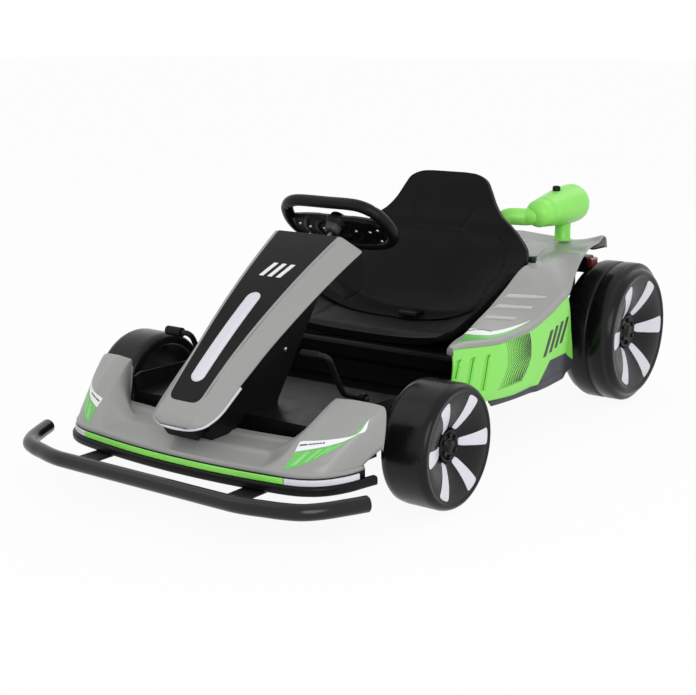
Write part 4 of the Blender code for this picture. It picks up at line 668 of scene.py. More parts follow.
COWL = [
    # across at the front edge, across at the rear edge, rear height, rear edge y
    (0.1860, 0.2165, 0.1925, -0.4115), (0.2076, 0.2270, 0.1935, -0.4115), (0.2240, 0.2360, 0.1940, -0.4110),
    (0.2400, 0.2480, 0.1945, -0.4090), (0.2530, 0.2640, 0.1930, -0.4040), (0.2640, 0.2840, 0.1910, -0.3990),
    (0.2720, 0.2950, 0.1885, -0.3970), (0.2780, 0.3005, 0.1800, -0.3980), (0.2820, 0.3020, 0.1600, -0.4010),
    (0.2870, 0.3005, 0.1245, -0.4060),
]
SHELF_EDGE, RIDGE = 0.168, 0.186
SHELF = [
    # share of the way back, half width of the shelf there, its height
    (0.00, 0.1680, 0.1040), (0.22, 0.1640, 0.1085), (0.30, 0.1580, 0.1110), (0.40, 0.1500, 0.1155),
    (0.55, 0.1580, 0.1162), (0.75, 0.1860, 0.1170), (0.86, 0.2030, 0.1205), (1.00, 0.2195, 0.1210),
]
SHELF_REAR = [
    # across at the front edge, rear edge y
    (0.000, -0.4380), (0.050, -0.4350), (0.100, -0.4280), (0.140, -0.4200), (0.168, -0.4175),
]
BEAD = [
    # share of the way back, place across of the raised line along the fender's outer crease
    (0.00, 0.2280), (0.03, 0.2350), (0.10, 0.2620), (0.33, 0.2680), (0.50, 0.2720), (0.75, 0.2750),
    (1.00, 0.2770),
]


def cowl_face(front_x, share):
    """Cowl between its lip and its rear edge. The shelf spreads and climbs by its table; past the ridge the
    fender rises by 1 - (1 - share)^shape with a 1.2 mm bell-shaped bead; between them both are mixed."""
    front_x, share = np.broadcast_arrays(front_x, share)
    share = np.clip(share, 0.0, 1.0)
    a, side = np.abs(front_x), np.sign(front_x)
    inner, outer = np.minimum(a, SHELF_EDGE), np.maximum(a, RIDGE)
    y0 = nose_at(run_of(inner), -0.0024)[1]
    shelf = np.stack([side * inner / SHELF_EDGE * reading(SHELF, 1, share),
                      y0 + (reading(SHELF_REAR, 1, inner) - y0) * share, reading(SHELF, 2, share)], axis=-1)
    x0, y0 = nose_at(run_of(outer), -0.0024)
    x1, z1, y1 = reading(COWL, 1, outer), reading(COWL, 2, outer), reading(COWL, 3, outer)
    beyond = np.clip((outer - RIDGE) / 0.022, 0.0, 1.0)
    bead = 0.0012 * np.exp(-((a - reading(BEAD, 1, share)) / 0.0035) ** 2) * soft_step(share, 0.0, 0.06)
    rise = 1 - (1 - share) ** (1.20 + 0.15 * beyond)
    fender = np.stack([side * (x0 + (x1 - x0) * share ** (0.75 + 0.25 * beyond)), y0 + (y1 - y0) * share,
                       LIP_HIGH + (z1 - LIP_HIGH) * rise + bead], axis=-1)
    mix = np.clip((a - SHELF_EDGE) / (RIDGE - SHELF_EDGE), 0.0, 1.0)[..., None]
    return shelf * (1 - mix) + fender * mix


def make_cowl():
    """Grey cowl: a rounded lip, the shelf and two crowned fenders, and a turned-down rear flange."""
    half = np.concatenate([np.linspace(0.0, 0.150, 18), np.linspace(0.1512, 0.2040, 44),
                           np.linspace(0.2055, 0.287, 54)])
    front_x = np.concatenate([-half[:0:-1], half])[:, None]
    a = np.abs(front_x)
    turn = np.linspace(0, math.pi / 2, 6)[None, :]
    low = LIP_LOW + 0.001 * soft_step(a, 0.282, 0.287)
    rows = []
    for out, z in ((0.0, low), (0.0, low + 0.0035)):
        x, y = nose_at(run_of(front_x), out)
        rows.append(np.stack([x, y, z], axis=-1))
    x, y = nose_at(run_of(front_x), -0.0024 * (1 - np.cos(turn)))
    z = low + 0.0035 + (LIP_HIGH - low - 0.0035) * np.sin(turn)
    rows.append(np.stack([x, y, z], axis=-1)[:, 1:-1])
    rows.append(cowl_face(front_x, np.linspace(0.0, 0.985, 54)[None, :]))
    edge = cowl_face(front_x, np.ones_like(front_x))
    down = (0.016 - 0.011 * soft_step(a, 0.160, 0.172))[..., None]
    rows.append(edge + np.array([0, 0.0003, -0.0008]))
    rows.append(edge + np.array([0, 0.0008, -0.0026]))
    rows.append(edge + np.array([0, 0.0006, 0.0]) - down * np.array([0, 0, 1.0]))
    points = np.concatenate(rows, axis=1)
    weight = np.exp(-((a[1:-1] - 0.177) / 0.022) ** 4)[..., None]
    for _ in range(8):
        mean = (points[:-2] + 2 * points[1:-1] + points[2:]) / 4
        points[1:-1] += weight * (mean - points[1:-1])
    mesh = sheet("nose_cowl", points, (0, -0.3, 1))
    cowl = piece("nose_cowl", mesh, GREY, "chassis", "grey_panel", "front_cowl")
    wall(cowl, 0.0026)


FENDER_FILMS = {
    # place across the nose's front edge and share of the way back, along both edges of each film
    "white_upper": [(0.2007, 0.3319), (0.2460, 0.3767), (0.2740, 0.7700)],
    "white_lower": [(0.2055, 0.2128), (0.2501, 0.3084), (0.2738, 0.7680)],
    "green_upper": [(0.2058, 0.2030), (0.2506, 0.3000), (0.2737, 0.7640)],
    "green_lower": [(0.2069, 0.0160), (0.2275, 0.0745), (0.2466, 0.1727), (0.2609, 0.2935), (0.2735, 0.7620)],
}
SLIVER_COUNT = 5


def between(upper, lower, along, across):
    """Place at shares along and across a band between two smooth lines."""
    first, second = smooth_line(upper, 201), smooth_line(lower, 201)
    k = int(round(along * 200))
    return first[k] * (1 - across) + second[k] * across


def make_film_bands(place, word, face, films):
    """A white band and a green one on a surface, each between the two edges of its table."""
    white = band_on(place + "_white", face, films["white_upper"], films["white_lower"], 0.0005)
    piece(place + "_white_" + word, white, FILM_WHITE, "chassis", "grey_panel")
    green = band_on(place + "_green", face, films["green_upper"], films["green_lower"], 0.0004)
    piece(place + "_green_" + word, green, FILM_GREEN, "chassis", "grey_panel")


def make_dashes(place, word, face, start, run, half_thick):
    """One long dash and seven short ones along a straight line of (u, v) places on a surface."""
    start, run, half_thick = np.array(start), np.array(run), np.array(half_thick)
    spans = [(0.02, 0.02 + 0.30)]
    spans += [(0.37 + 0.082 * k, 0.37 + 0.082 * k + 0.055) for k in range(7)]
    for k, (low, high) in enumerate(spans):
        first, last = start + run * low, start + run * high
        corners = [first - half_thick, last - half_thick, last + half_thick, first + half_thick]
        mesh = skin_patch(place + "_dash", face, corners, (6, 3), 0.0008, 0.0002)
        piece("%s_dash_%s_%d" % (place, word, k), mesh, FILM_BLACK, "chassis", "grey_panel")


def make_fender_marks():
    """Printed film on both fenders: a white band with black dashes, and a green one with pale slivers."""
    upper, lower = FENDER_FILMS["green_upper"], FENDER_FILMS["green_lower"]
    for side, word in SIDES:
        face = (lambda u, v, side=side: cowl_face(side * u, v), (side * 0.3, -0.5, 1))
        make_film_bands("fender", word, face, FENDER_FILMS)
        for k in range(SLIVER_COUNT):
            start = 0.02 + 0.07 * k
            places = ((start + 0.05, 0.12), (start + 0.075, 0.12), (start + 0.035, 0.86), (start, 0.86))
            corners = [between(upper, lower, *place) for place in places]
            mesh = skin_patch("fender_sliver", face, corners, (8, 3), 0.0007, 0.0002)
            piece("fender_sliver_%s_%d" % (word, k), mesh, FILM_LIME, "chassis", "grey_panel")
        make_dashes("fender", word, face, (0.2058, 0.2857), (0.0422, 0.0567), (0.0, 0.008))


BUMPER = [
    # half of the bumper's centre line, seen from above
    (0.1000, -0.6135), (0.1600, -0.6135), (0.1850, -0.6130), (0.2070, -0.6095), (0.2320, -0.6030),
    (0.2580, -0.5960), (0.2860, -0.5830), (0.3050, -0.5620), (0.3220, -0.5320), (0.3400, -0.4960),
]


def make_bumper():
    """Round tube cut square at its ends, its centre line a smooth curve through the table and its mirror."""
    half = np.asarray(BUMPER)
    line = np.vstack([half[::-1] * (-1, 1), half])
    path = smooth_line(np.column_stack([line, np.full(len(line), 0.073)]), 220)[1:-1]
    first, last = unit(path[0] - path[1]), unit(path[-1] - path[-2])
    path = np.vstack([path[0] + 0.0014 * first, path, path[-1] + 0.0014 * last])
    radii = np.full(len(path), 0.0125)
    radii[[0, -1]] = 0.0112
    mesh = loft("bumper", tube(path, radii, 32))
    piece("bumper", mesh, GLOSS_TUBE, "chassis", "black_plastic", "bumper_tube")


# Column

COLUMN_FOOT = np.array([0.0, -0.511, 0.1835])
COLUMN_HEAD = np.array([0.0, -0.1965, 0.402])
COLUMN_LENGTH = float(np.linalg.norm(COLUMN_HEAD - COLUMN_FOOT))
COLUMN_ALONG = (COLUMN_HEAD - COLUMN_FOOT) / COLUMN_LENGTH
COLUMN_UP = np.array([0.0, -COLUMN_ALONG[2], COLUMN_ALONG[1]])
COLUMN_BULGE = 0.0115


def column_point(distance, across, lift):
    """Place on the column: up along it, across it and off its face, which bulges as a parabola."""
    share = distance / COLUMN_LENGTH
    inside = np.clip(share, -0.04, 1.0)
    bulge = 4 * COLUMN_BULGE * inside * (1 - inside)
    base = COLUMN_FOOT + distance[..., None] * COLUMN_ALONG + (bulge + lift)[..., None] * COLUMN_UP
    return base + across[..., None] * np.array([1.0, 0.0, 0.0])


def column_face(distance, across):
    """The column's face, as a surface for plates."""
    distance, across = np.broadcast_arrays(distance, across)
    return column_point(distance, across, np.zeros(distance.shape))


def panel_half(distance):
    """Half width of the black panel: straight from the foot to the head, and 2.5 mm wider at the foot."""
    straight = 0.0315 + 0.0375 * distance / COLUMN_LENGTH
    return straight + 0.0025 * (1 - soft_step(distance, 0.0, 0.1))


COVER = [
    # distance, top half width, top lift, flank half width, flank lift
    (-0.0500, 0.0250, -0.0145, 0.0280, -0.0160), (-0.0485, 0.0290, -0.0115, 0.0335, -0.0163),
    (-0.0440, 0.0370, -0.0075, 0.0435, -0.0168), (-0.0340, 0.0400, -0.0035, 0.0550, -0.0175),
    (-0.0180, 0.0388, -0.0008, 0.0612, -0.0190), (0.0000, 0.0378, -0.0003, 0.0645, -0.0215),
    (0.0500, 0.0408, 0.0000, 0.0668, -0.0250), (0.1000, 0.0443, 0.0000, 0.0696, -0.0283),
    (0.2000, 0.0541, 0.0000, 0.0807, -0.0296), (0.3000, 0.0639, 0.0000, 0.0918, -0.0309),
    (0.3600, 0.0697, 0.0000, 0.0984, -0.0317),
    (COLUMN_LENGTH - 0.004, 0.0718, 0.0000, 0.1004, -0.0320),
    (COLUMN_LENGTH, 0.0705, -0.0030, 0.0985, -0.0320),
]


def make_cover():
    """Grey cover: flat face under the panel, two sloping flanks with a small return, rounded corners."""
    d = np.concatenate([np.linspace(-0.050, 0.0, 26), np.linspace(0.006, COLUMN_LENGTH - 0.006, 60),
                        np.linspace(COLUMN_LENGTH - 0.005, COLUMN_LENGTH, 6)])
    top, lift, flank, low = (reading(COVER, c, d) for c in (1, 2, 3, 4))
    face = -0.0025 * soft_step(d, 0.0, 0.02)
    across = [-(flank - 0.0035), -flank, -flank, -top, -top + 0.0032, 0 * top, top - 0.0032, top, flank,
              flank, flank - 0.0035]
    heights = [low - 0.0004, low, low + 0.0020, lift - 0.0012, lift + 0.0006, lift + face, lift + 0.0006,
               lift - 0.0012, low + 0.0020, low, low - 0.0004]
    corners = np.stack([column_point(d, a + 0 * d, h + 0 * d) for a, h in zip(across, heights)], axis=1)
    rows = along_polyline(corners, 121, 1)
    cover = piece("column_shell", sheet("column_shell", rows, (0, -0.6, 0.8)), GREY, "chassis", "grey_panel",
                  "column_cover")
    wall(cover, 0.0026)
    foot = rows[0]
    half = len(foot) // 2
    share = np.linspace(0, 1, 9)[None, :, None]
    closing = foot[:half + 1, None] * (1 - share) + foot[::-1][:half + 1, None] * share
    inset = slab("column_nose_plate", closing, closing + 0.0024 * COLUMN_ALONG)
    piece("column_nose_plate", inset, GREY, "chassis", "grey_panel")
    block = rounded_box(-0.0340, 0.0340, -0.0480, -0.0190, 0.0050, 5)
    d = np.linspace(-0.0440, -0.0080, 10)[:, None] + 0 * block[None, :, 0]
    rings = column_point(d, block[None, :, 0] + 0 * d, block[None, :, 1] + 0 * d)
    piece("column_fixing", loft("column_fixing", rings), BLACK, "chassis", "black_plastic")


PANEL_FOOT = -0.0100


def make_panel():
    """Gloss black panel with round lower corners, slightly proud of the cover's face."""
    d = np.concatenate([
        PANEL_FOOT + np.linspace(0.0, 0.014, 16), np.linspace(0.009, COLUMN_LENGTH - 0.008, 50),
        np.linspace(COLUMN_LENGTH - 0.007, COLUMN_LENGTH - 0.0015, 8)])[:, None]
    corner, head_corner = 0.014, 0.006
    near = np.maximum(corner - (d - PANEL_FOOT), 0.0)
    cut = corner - np.sqrt(np.maximum(corner ** 2 - near ** 2, 0.0))
    above = np.maximum(d - COLUMN_LENGTH + 0.0075, 0.0)
    head = head_corner - np.sqrt(np.maximum(head_corner ** 2 - above ** 2, 0.0))
    half = panel_half(d) - 0.0004 - cut - head
    across = half * np.linspace(-1, 1, 33)[None, :]
    mesh = patch_on("column_gloss", (column_face, COLUMN_UP), d + 0 * across, across, 0.0004, 0.0020, 0.0006)
    piece("column_gloss", mesh, GLOSS, "chassis", "gloss_black", "column_panel")
    for side, word in SIDES:
        edge = side * (half + 0.0026 * np.linspace(0, 1, 5)[None, :])
        mesh = patch_on("panel_groove", (column_face, COLUMN_UP), d + 0 * edge, edge, -0.0006, 0.0020)
        piece("panel_groove_" + word, mesh, FILM_BLACK, "chassis", "gloss_black")


def pill_rings(start, length, radius, shrink):
    """Outlines of a long plate with round ends, shrunk towards its middle line: (distance, across) arrays."""
    turn = np.linspace(-math.pi / 2, math.pi / 2, 17)
    half = length / 2 - radius
    straight = half * np.linspace(1, -1, 42)[1:-1]
    flat = np.zeros(len(straight))
    along = np.concatenate([np.full(17, half), straight, np.full(17, -half), -straight])
    outward = np.concatenate([np.cos(turn), flat, -np.cos(turn), flat])
    across = np.concatenate([np.sin(turn), flat + 1, np.sin(turn[::-1]), flat - 1])
    r = radius * shrink[:, None]
    return start + length / 2 + along + r * outward, r * across


def pill(name, start, length, radius, rings, lifts):
    """A long round-ended plate on the column whose height follows a list of lifts from rim to middle."""
    distance, across = pill_rings(start, length, radius, np.asarray(rings))
    lift = np.broadcast_to(np.asarray(lifts)[:, None], distance.shape)
    return loft(name, column_point(distance, across, lift))


def make_light_bar():
    """Long pale light in a raised round-ended rim."""
    rim = pill("light_rim", 0.0275, 0.1945, 0.0136, (0.93, 1.0, 1.0, 0.97, 0.90, 0.86, 0.86),
               (-0.0008, -0.0008, 0.0010, 0.0016, 0.0016, 0.0010, -0.0008))
    piece("light_rim", rim, PALE, "chassis", "pale_trim")
    lens = pill("light_lens", 0.0292, 0.1911, 0.0119, (1.0, 1.0, 0.95, 0.85, 0.6, 0.3, 0.02),
                (-0.0008, 0.0010, 0.0017, 0.0021, 0.0024, 0.0025, 0.0025))
    piece("light_lens", lens, PALE, "chassis", "pale_trim", "light_bar")


def make_panel_marks():
    """Three slanted pale bars on the gloss panel, above the light."""
    d = 0.262
    for k in range(3):
        x = -0.024 + 0.018 * k
        corners = [(d, x), (d, x + 0.009), (d + 0.034, x + 0.019), (d + 0.034, x + 0.010)]
        mesh = skin_patch("panel_mark", (column_face, COLUMN_UP), corners, (4, 8), 0.0007, 0.0002)
        piece("panel_mark_%d" % k, mesh, FILM_WHITE, "chassis", "pale_trim")


TRIM_PATH = [
    # distance up the column and place across it
    (0.0500, 0.0674), (0.0350, 0.0667), (0.0200, 0.0660), (0.0040, 0.0650), (-0.0133, 0.0626),
    (-0.0240, 0.0595), (-0.0350, 0.0545), (-0.0435, 0.0440), (-0.0490, 0.0300), (-0.0512, 0.0140),
    (-0.0517, 0.0000),
]


def make_cover_lip():
    """Pale lip round the cover's foot: a small round section carried along a U under the cover's edge."""
    half = np.asarray(TRIM_PATH)
    path = smooth_line(np.vstack([half, half[-2::-1] * (1, -1)]), 120)
    run = unit(np.gradient(path, axis=0))
    out = np.stack([-run[:, 1], run[:, 0]], axis=1)
    out *= np.sign(np.sum(out * (path - (0.02, 0.0)), axis=1))[:, None]
    ring = rounded_box(-0.0042, 0.0010, -0.0042, 0.0002, 0.0014, 4)
    d = path[:, :1] + out[:, :1] * ring[None, :, 0]
    x = path[:, 1:] + out[:, 1:] * ring[None, :, 0]
    lift = reading(COVER, 4, path[:, :1]) + ring[None, :, 1]
    mesh = loft("cover_lip", column_point(d, x, lift))
    piece("cover_lip", mesh, PALE, "chassis", "pale_trim", "column_trim")


def make_housing_bolts():
    """Domed bolts on both sides of the column's housing."""
    head = [(0.0, 0.0030), (0.0022, 0.0028), (0.0038, 0.0018), (0.0042, 0.0), (0.0042, -0.001), (0.0, -0.001)]
    for side, word in SIDES:
        for k, (y, z) in enumerate(((-0.301, 0.222), (-0.425, 0.175), (-0.232, 0.300))):
            mesh = turned_body("bolt", head, 24, (side * 0.0295, y, z), (side, 0, 0))
            piece("housing_bolt_%s_%d" % (word, k), mesh, ZINC, "chassis", "zinc_steel")


# Steering wheel

WHEEL_CENTRE = np.array([0.0, -0.115, 0.414])
TILT = math.radians(45)
FACE_UP = np.array([0.0, -math.cos(TILT), math.sin(TILT)])
FACE_OUT = np.array([0.0, math.sin(TILT), math.cos(TILT)])
RIM_HALF = [
    # across and up the wheel's face, from the middle of the top round to the middle of the bottom
    (0.0000, 0.0500), (0.0300, 0.0502), (0.0500, 0.0500), (0.0640, 0.0487), (0.0750, 0.0455),
    (0.0850, 0.0400), (0.0935, 0.0320), (0.1000, 0.0215), (0.1045, 0.0085), (0.1068, -0.0050),
    (0.1065, -0.0170), (0.1035, -0.0290), (0.0975, -0.0390), (0.0890, -0.0470), (0.0780, -0.0530),
    (0.0600, -0.0580), (0.0400, -0.0610), (0.0200, -0.0618), (0.0000, -0.0620),
]


def on_wheel(x, up, out):
    """Place on the steering wheel: across, up its face and towards the driver."""
    x, up, out = np.broadcast_arrays(x, up, out)
    return (WHEEL_CENTRE + x[..., None] * np.array([1.0, 0.0, 0.0]) + up[..., None] * FACE_UP
            + out[..., None] * FACE_OUT)


def make_rim():
    """Padded rim: a closed tube, thicker on the two grips, each of which ends in a shallow groove."""
    half = np.asarray(RIM_HALF)
    line = smooth_line(np.vstack([half, half[-2:0:-1] * (-1, 1)]), 288, closed=True)
    run = unit(np.roll(line, -1, axis=0) - np.roll(line, 1, axis=0))
    side = np.stack([run[:, 1], -run[:, 0]], axis=1)
    up = line[:, 1]
    groove = np.exp(-((up - 0.034) / 0.0012) ** 2) + np.exp(-((up + 0.046) / 0.0012) ** 2)
    radius = (0.0104 + 0.0005 * soft_step(-up, -0.030, -0.026) - 0.0007 * groove)[:, None]
    a = np.linspace(0, 2 * math.pi, 28, endpoint=False)[None, :]
    across = line[:, :1] + radius * np.cos(a) * side[:, :1]
    points = on_wheel(across, line[:, 1:] + radius * np.cos(a) * side[:, 1:], radius * np.sin(a))
    piece("steering_rim", loft("steering_rim", points, closed_run=True), BLACK, "steering", "black_plastic",
          "steering_wheel")


PLATE_EDGE = [
    # across and up the wheel's face, along the plate's lower edge
    (0.0, -0.0560), (0.055, -0.0530), (0.078, -0.0470), (0.090, -0.0390), (0.101, -0.0230),
]


def make_wheel_plate():
    """Filled lower part of the steering wheel: two crowned faces between the rim and a bowed top edge."""
    share = np.linspace(-1, 1, 61)[:, None]
    x = 0.101 * share
    top = 0.013 - 0.010 * np.abs(share) ** 3
    bottom = reading(PLATE_EDGE, 1, np.abs(x))
    rise = np.linspace(0, 1, 25)[None, :]
    up = bottom + (top - bottom) * rise
    crown = 0.0068 * np.sqrt(1 - (1 - np.clip((1 - rise) / 0.08, 0, 1)) ** 2) + 0 * x
    inner = 0.0009 * soft_step(-np.hypot(x / 1.9, up + 0.020), -0.036, -0.033)
    ribs = 0.0012 * soft_step(np.cos(np.hypot(x / 1.5, up + 0.022) * 2 * math.pi / 0.016), 0.55, 0.85)
    under = -crown - ribs * (crown > 0.006)
    mesh = slab("steering_plate", on_wheel(x, up, crown - inner), on_wheel(x, up, under))
    piece("steering_plate", mesh, BLACK, "steering", "black_plastic")
    boss = [(0.0, -0.0300), (0.0085, -0.0300), (0.0100, -0.0285), (0.0108, -0.0230), (0.0130, -0.0160),
            (0.0190, -0.0090), (0.0205, -0.0060), (0.0205, -0.0030), (0.0, -0.0030)]
    piece("steering_boss", turned_body("steering_boss", boss, 48, WHEEL_CENTRE, FACE_OUT), BLACK, "steering",
          "black_plastic")
    collar = [(0.0, -0.0270), (0.0112, -0.0270), (0.0122, -0.0262), (0.0150, -0.0165), (0.0148, -0.0150),
              (0.0, -0.0150)]
    mesh = turned_body("steering_collar", collar, 48, WHEEL_CENTRE, FACE_OUT)
    piece("steering_collar", mesh, SLATE, "steering", "slate_plastic")


def make_wheel_fittings():
    """Centre cap, screws on both faces and the two push buttons in their rings."""
    cap = [(0.0, 0.0092), (0.0120, 0.0090), (0.0150, 0.0080), (0.0160, 0.0060), (0.0, 0.0060)]
    piece("steering_cap", turned_body("steering_cap", cap, 48, WHEEL_CENTRE, FACE_OUT), GLOSS, "steering",
          "gloss_black")
    screw = [(0.0, 0.0020), (0.0022, 0.0018), (0.0030, 0.0008), (0.0032, -0.0010), (0.0, -0.0010)]
    half = ((0.0345, -0.0180), (0.0650, -0.0170), (0.0840, -0.0100), (0.0790, -0.0400))
    spots = [(side * x, up) for side, _ in SIDES for x, up in half]
    for k, (x, up) in enumerate(spots):
        for word, out in (("back", -1), ("front", 1)):
            centre = on_wheel(np.array(x), np.array(up), np.array(out * 0.0066))
            mesh = turned_body("wheel_screw", screw, 20, centre, out * FACE_OUT)
            piece("wheel_screw_%s_%d" % (word, k), mesh, ZINC, "steering", "zinc_steel")
    buttons = ((0.045, "horn_button", RED, "red_lens"), (-0.045, "music_button", GREEN, "green_panel"))
    for x, body, material, slot in buttons:
        centre = on_wheel(np.array(x), np.array(-0.020), np.array(0.0052))
        dome = [(0.0, 0.0058), (0.0050, 0.0056), (0.0085, 0.0050), (0.0104, 0.0038), (0.0108, 0.0020),
                (0.0108, 0.0), (0.0, 0.0)]
        piece(body + "_dome", turned_body("button", dome, 48, centre, FACE_OUT), material, body, slot, body)
        ring = [(0.0116, 0.0008), (0.0116, 0.0030), (0.0124, 0.0036), (0.0138, 0.0030), (0.0142, 0.0008)]
        rings = turned(ring, 48, centre, FACE_OUT)
        mesh = make_mesh("button_ring", rings, grid_faces(*rings.shape[:2], True, True))
        piece(body + "_ring", mesh, GLOSS, "steering", "gloss_black")


# Cockpit

def make_pedals():
    """Bent-rod pedals with a ribbed sleeve on the bar."""
    for x, body, thick in ((0.148, "brake_pedal", 0.0060), (-0.147, "throttle_pedal", 0.0078)):
        turns = [(0.021, 0, 0), (0.012, 0, 0), (0.004, -0.001, 0.001), (0.0006, -0.006, 0.003),
                 (0.0, -0.020, 0.0080), (0.0, -0.036, 0.0150), (0.0, -0.047, 0.0300), (0.0, -0.066, 0.0640),
                 (-0.0006, -0.0750, 0.0790), (-0.005, -0.0790, 0.0835), (-0.014, -0.080, 0.084),
                 (-0.030, -0.080, 0.084), (-0.051, -0.080, 0.084)]
        path = smooth_line(turns, 110) + np.array([x, -0.262, 0.149])
        path, radii = round_ended(path[1:-1], 0.0048, 6)
        piece(body + "_rod", loft(body + "_rod", tube(path, radii, 20)), PAINT, body, "frame_paint", body)
        run = np.linspace(0, 1, 49)
        sleeve = np.stack([x - 0.016 - 0.035 * run, 0 * run - 0.342, 0 * run + 0.233], axis=1)
        ribs = thick + 0.0006 * np.cos(run * 2 * math.pi * 7)
        ribs[[0, -1]] = 0.0050
        piece(body + "_sleeve", loft(body + "_sleeve", tube(sleeve, ribs, 24)), BLACK, body, "black_plastic")


SEAT = [
    # station number, centre y, centre z, half width, wing depth, thickness, lean of the front face in degrees
    (0, -0.052, 0.2045, 0.1700, 0.0120, 0.015, 20), (1, -0.030, 0.2135, 0.1820, 0.0100, 0.026, 5),
    (2, 0.030, 0.2145, 0.1920, 0.0325, 0.026, -2), (3, 0.090, 0.2115, 0.1980, 0.0610, 0.024, 4),
    (4, 0.135, 0.2140, 0.2010, 0.0730, 0.024, 22), (5, 0.160, 0.2340, 0.2030, 0.0640, 0.024, 28),
    (6, 0.176, 0.2650, 0.2045, 0.0410, 0.026, 33), (7, 0.190, 0.3000, 0.2045, 0.0120, 0.026, 66),
    (8, 0.203, 0.3350, 0.1980, 0.0000, 0.026, 75), (9, 0.214, 0.3600, 0.1760, 0.0000, 0.025, 76),
    (10, 0.220, 0.3800, 0.1520, 0.0000, 0.024, 76), (11, 0.226, 0.3950, 0.1300, 0.0000, 0.024, 76),
    (12, 0.233, 0.4150, 0.1120, 0.0000, 0.023, 77), (13, 0.240, 0.4400, 0.0970, 0.0000, 0.022, 78),
    (14, 0.2445, 0.4560, 0.0865, 0.0000, 0.019, 79), (15, 0.2475, 0.4645, 0.0720, 0.0000, 0.015, 80),
    (16, 0.2490, 0.4688, 0.0550, 0.0000, 0.011, 81), (17, 0.2495, 0.4700, 0.0360, 0.0000, 0.008, 82),
]
BOLSTER = [
    # station and place across of the seam between the cushion and the bolsters
    (0.0, 0.660), (4.9, 0.660), (6.2, 0.740), (6.9, 0.785), (7.9, 0.800), (8.7, 0.745), (9.2, 0.680),
]


def seat_front(station, v, sink=0.0):
    """Front face of the bucket seat: each station's line across leans by its angle and its wings rise with
    the cube of the place across; sink moves the point into the seat."""
    y, z, half, wing, lean = (reading(SEAT, c, station) for c in (1, 2, 3, 4, 6))
    lean = np.radians(lean)
    lift = wing * np.abs(v) ** 3 - sink
    return np.stack([half * v, y - np.sin(lean) * lift, z + np.cos(lean) * lift], axis=-1)


def seat_relief(station, v):
    """Depth of the seat's moulded lines: the bolster seams, two grooves that meet downwards in the back's
    upper part and a faint step that joins them."""
    a = np.abs(v)
    along = soft_step(station, 0.4, 1.0) * (1 - soft_step(station, 8.7, 9.3))
    bolster = 0.0024 * np.exp(-((a - reading(BOLSTER, 1, station)) / 0.013) ** 2) * along
    line = 0.300 + 0.118 * (station - 9.25)
    reach = soft_step(station, 9.1, 9.3) * (1 - soft_step(station, 11.3, 11.6))
    groove = 0.0022 * np.exp(-((a - line) / 0.020) ** 2) * reach
    step = 0.0007 * soft_step(station, 9.15, 9.35) * (1 - soft_step(station, 11.3, 12.4))
    return bolster + groove + step * (1 - soft_step(a, line - 0.02, line + 0.01))


def make_seat_shell():
    """One-piece bucket seat: front and back faces joined by a full round rim."""
    station = np.concatenate([np.linspace(0, 12, 150), np.linspace(12.03, 17, 90)])[:, None]
    even = np.linspace(-1, 1, 97)
    across = (0.55 * even + 0.45 * np.sin(even * math.pi / 2))[None, :]
    s, w = np.broadcast_arrays(station, across)
    thick = reading(SEAT, 5, s) * (1 - 0.45 * np.abs(w) ** 6)
    front = seat_front(s, w, seat_relief(s, w))
    back = seat_front(s, w, thick)
    bulge = np.linspace(-1, 1, 7)[1:-1]
    share = ((bulge + 1) / 2)[None, :, None]
    round_off = (0.084 * thick[:, :1] * np.sqrt(1 - bulge ** 2)[None, :])[..., None] * np.array([1.0, 0, 0])
    left = front[:, -1:] + (back[:, -1:] - front[:, -1:]) * share + round_off
    right = back[:, :1] + (front[:, :1] - back[:, :1]) * share - round_off
    rings = np.concatenate([front, left, back[:, ::-1], right], axis=1)
    piece("bucket_seat", loft("bucket_seat", rings), GRAINED, "chassis", "seat_plastic", "seat_shell")


def make_belt():
    """Lap belt laid across the cushion between the wings: a flat strap that follows the seat's front face."""
    v = np.linspace(-0.90, 0.90, 121)[:, None]
    width = np.linspace(-0.235, 0.235, 9)[None, :]
    sag = 0.03 * np.cos(v * math.pi / 2)
    s, w = np.broadcast_arrays(2.5 + width + sag, v)
    top = seat_front(s, w, -0.0030 - 0.0045 * w ** 2)
    low = seat_front(s, w, -0.0016 - 0.0045 * w ** 2)
    strap = piece("belt_strap", slab("belt_strap", top, low), WEBBING, "chassis", "webbing", "lap_belt")
    make_buckle()


def make_buckle():
    """Buckle body, drawn in at both ends, and a dark push bar."""
    y, z = 0.060, 0.2254
    x = np.linspace(0, 1, 41)[:, None]
    outline = rounded_box(-0.0175, 0.0175, -0.0055, 0.0055, 0.0036, 7)
    ends = np.clip(np.minimum(x, 1 - x) / 0.10, 0, 1)
    shrink = 1 - 0.22 * (1 - np.sqrt(1 - (1 - ends) ** 2))
    rings = np.stack([0.022 + 0.038 * x + 0 * outline[None, :, 0], y + outline[None, :, 0] * shrink,
                      z + outline[None, :, 1] * shrink], axis=-1)
    body = piece("buckle_body", loft("buckle_body", rings), BLACK, "chassis", "black_plastic", "belt_buckle")
    bar = rounded_box(-0.0110, 0.0110, 0.0045, 0.0060, 0.0006, 4)
    x = np.linspace(0.046, 0.056, 9)[:, None]
    rings = np.stack(np.broadcast_arrays(x, y + bar[None, :, 0], z + bar[None, :, 1]), axis=-1)
    press = piece("buckle_press", loft("buckle_press", rings), GLOSS, "chassis", "gloss_black")
    return [body, press]


# Tail

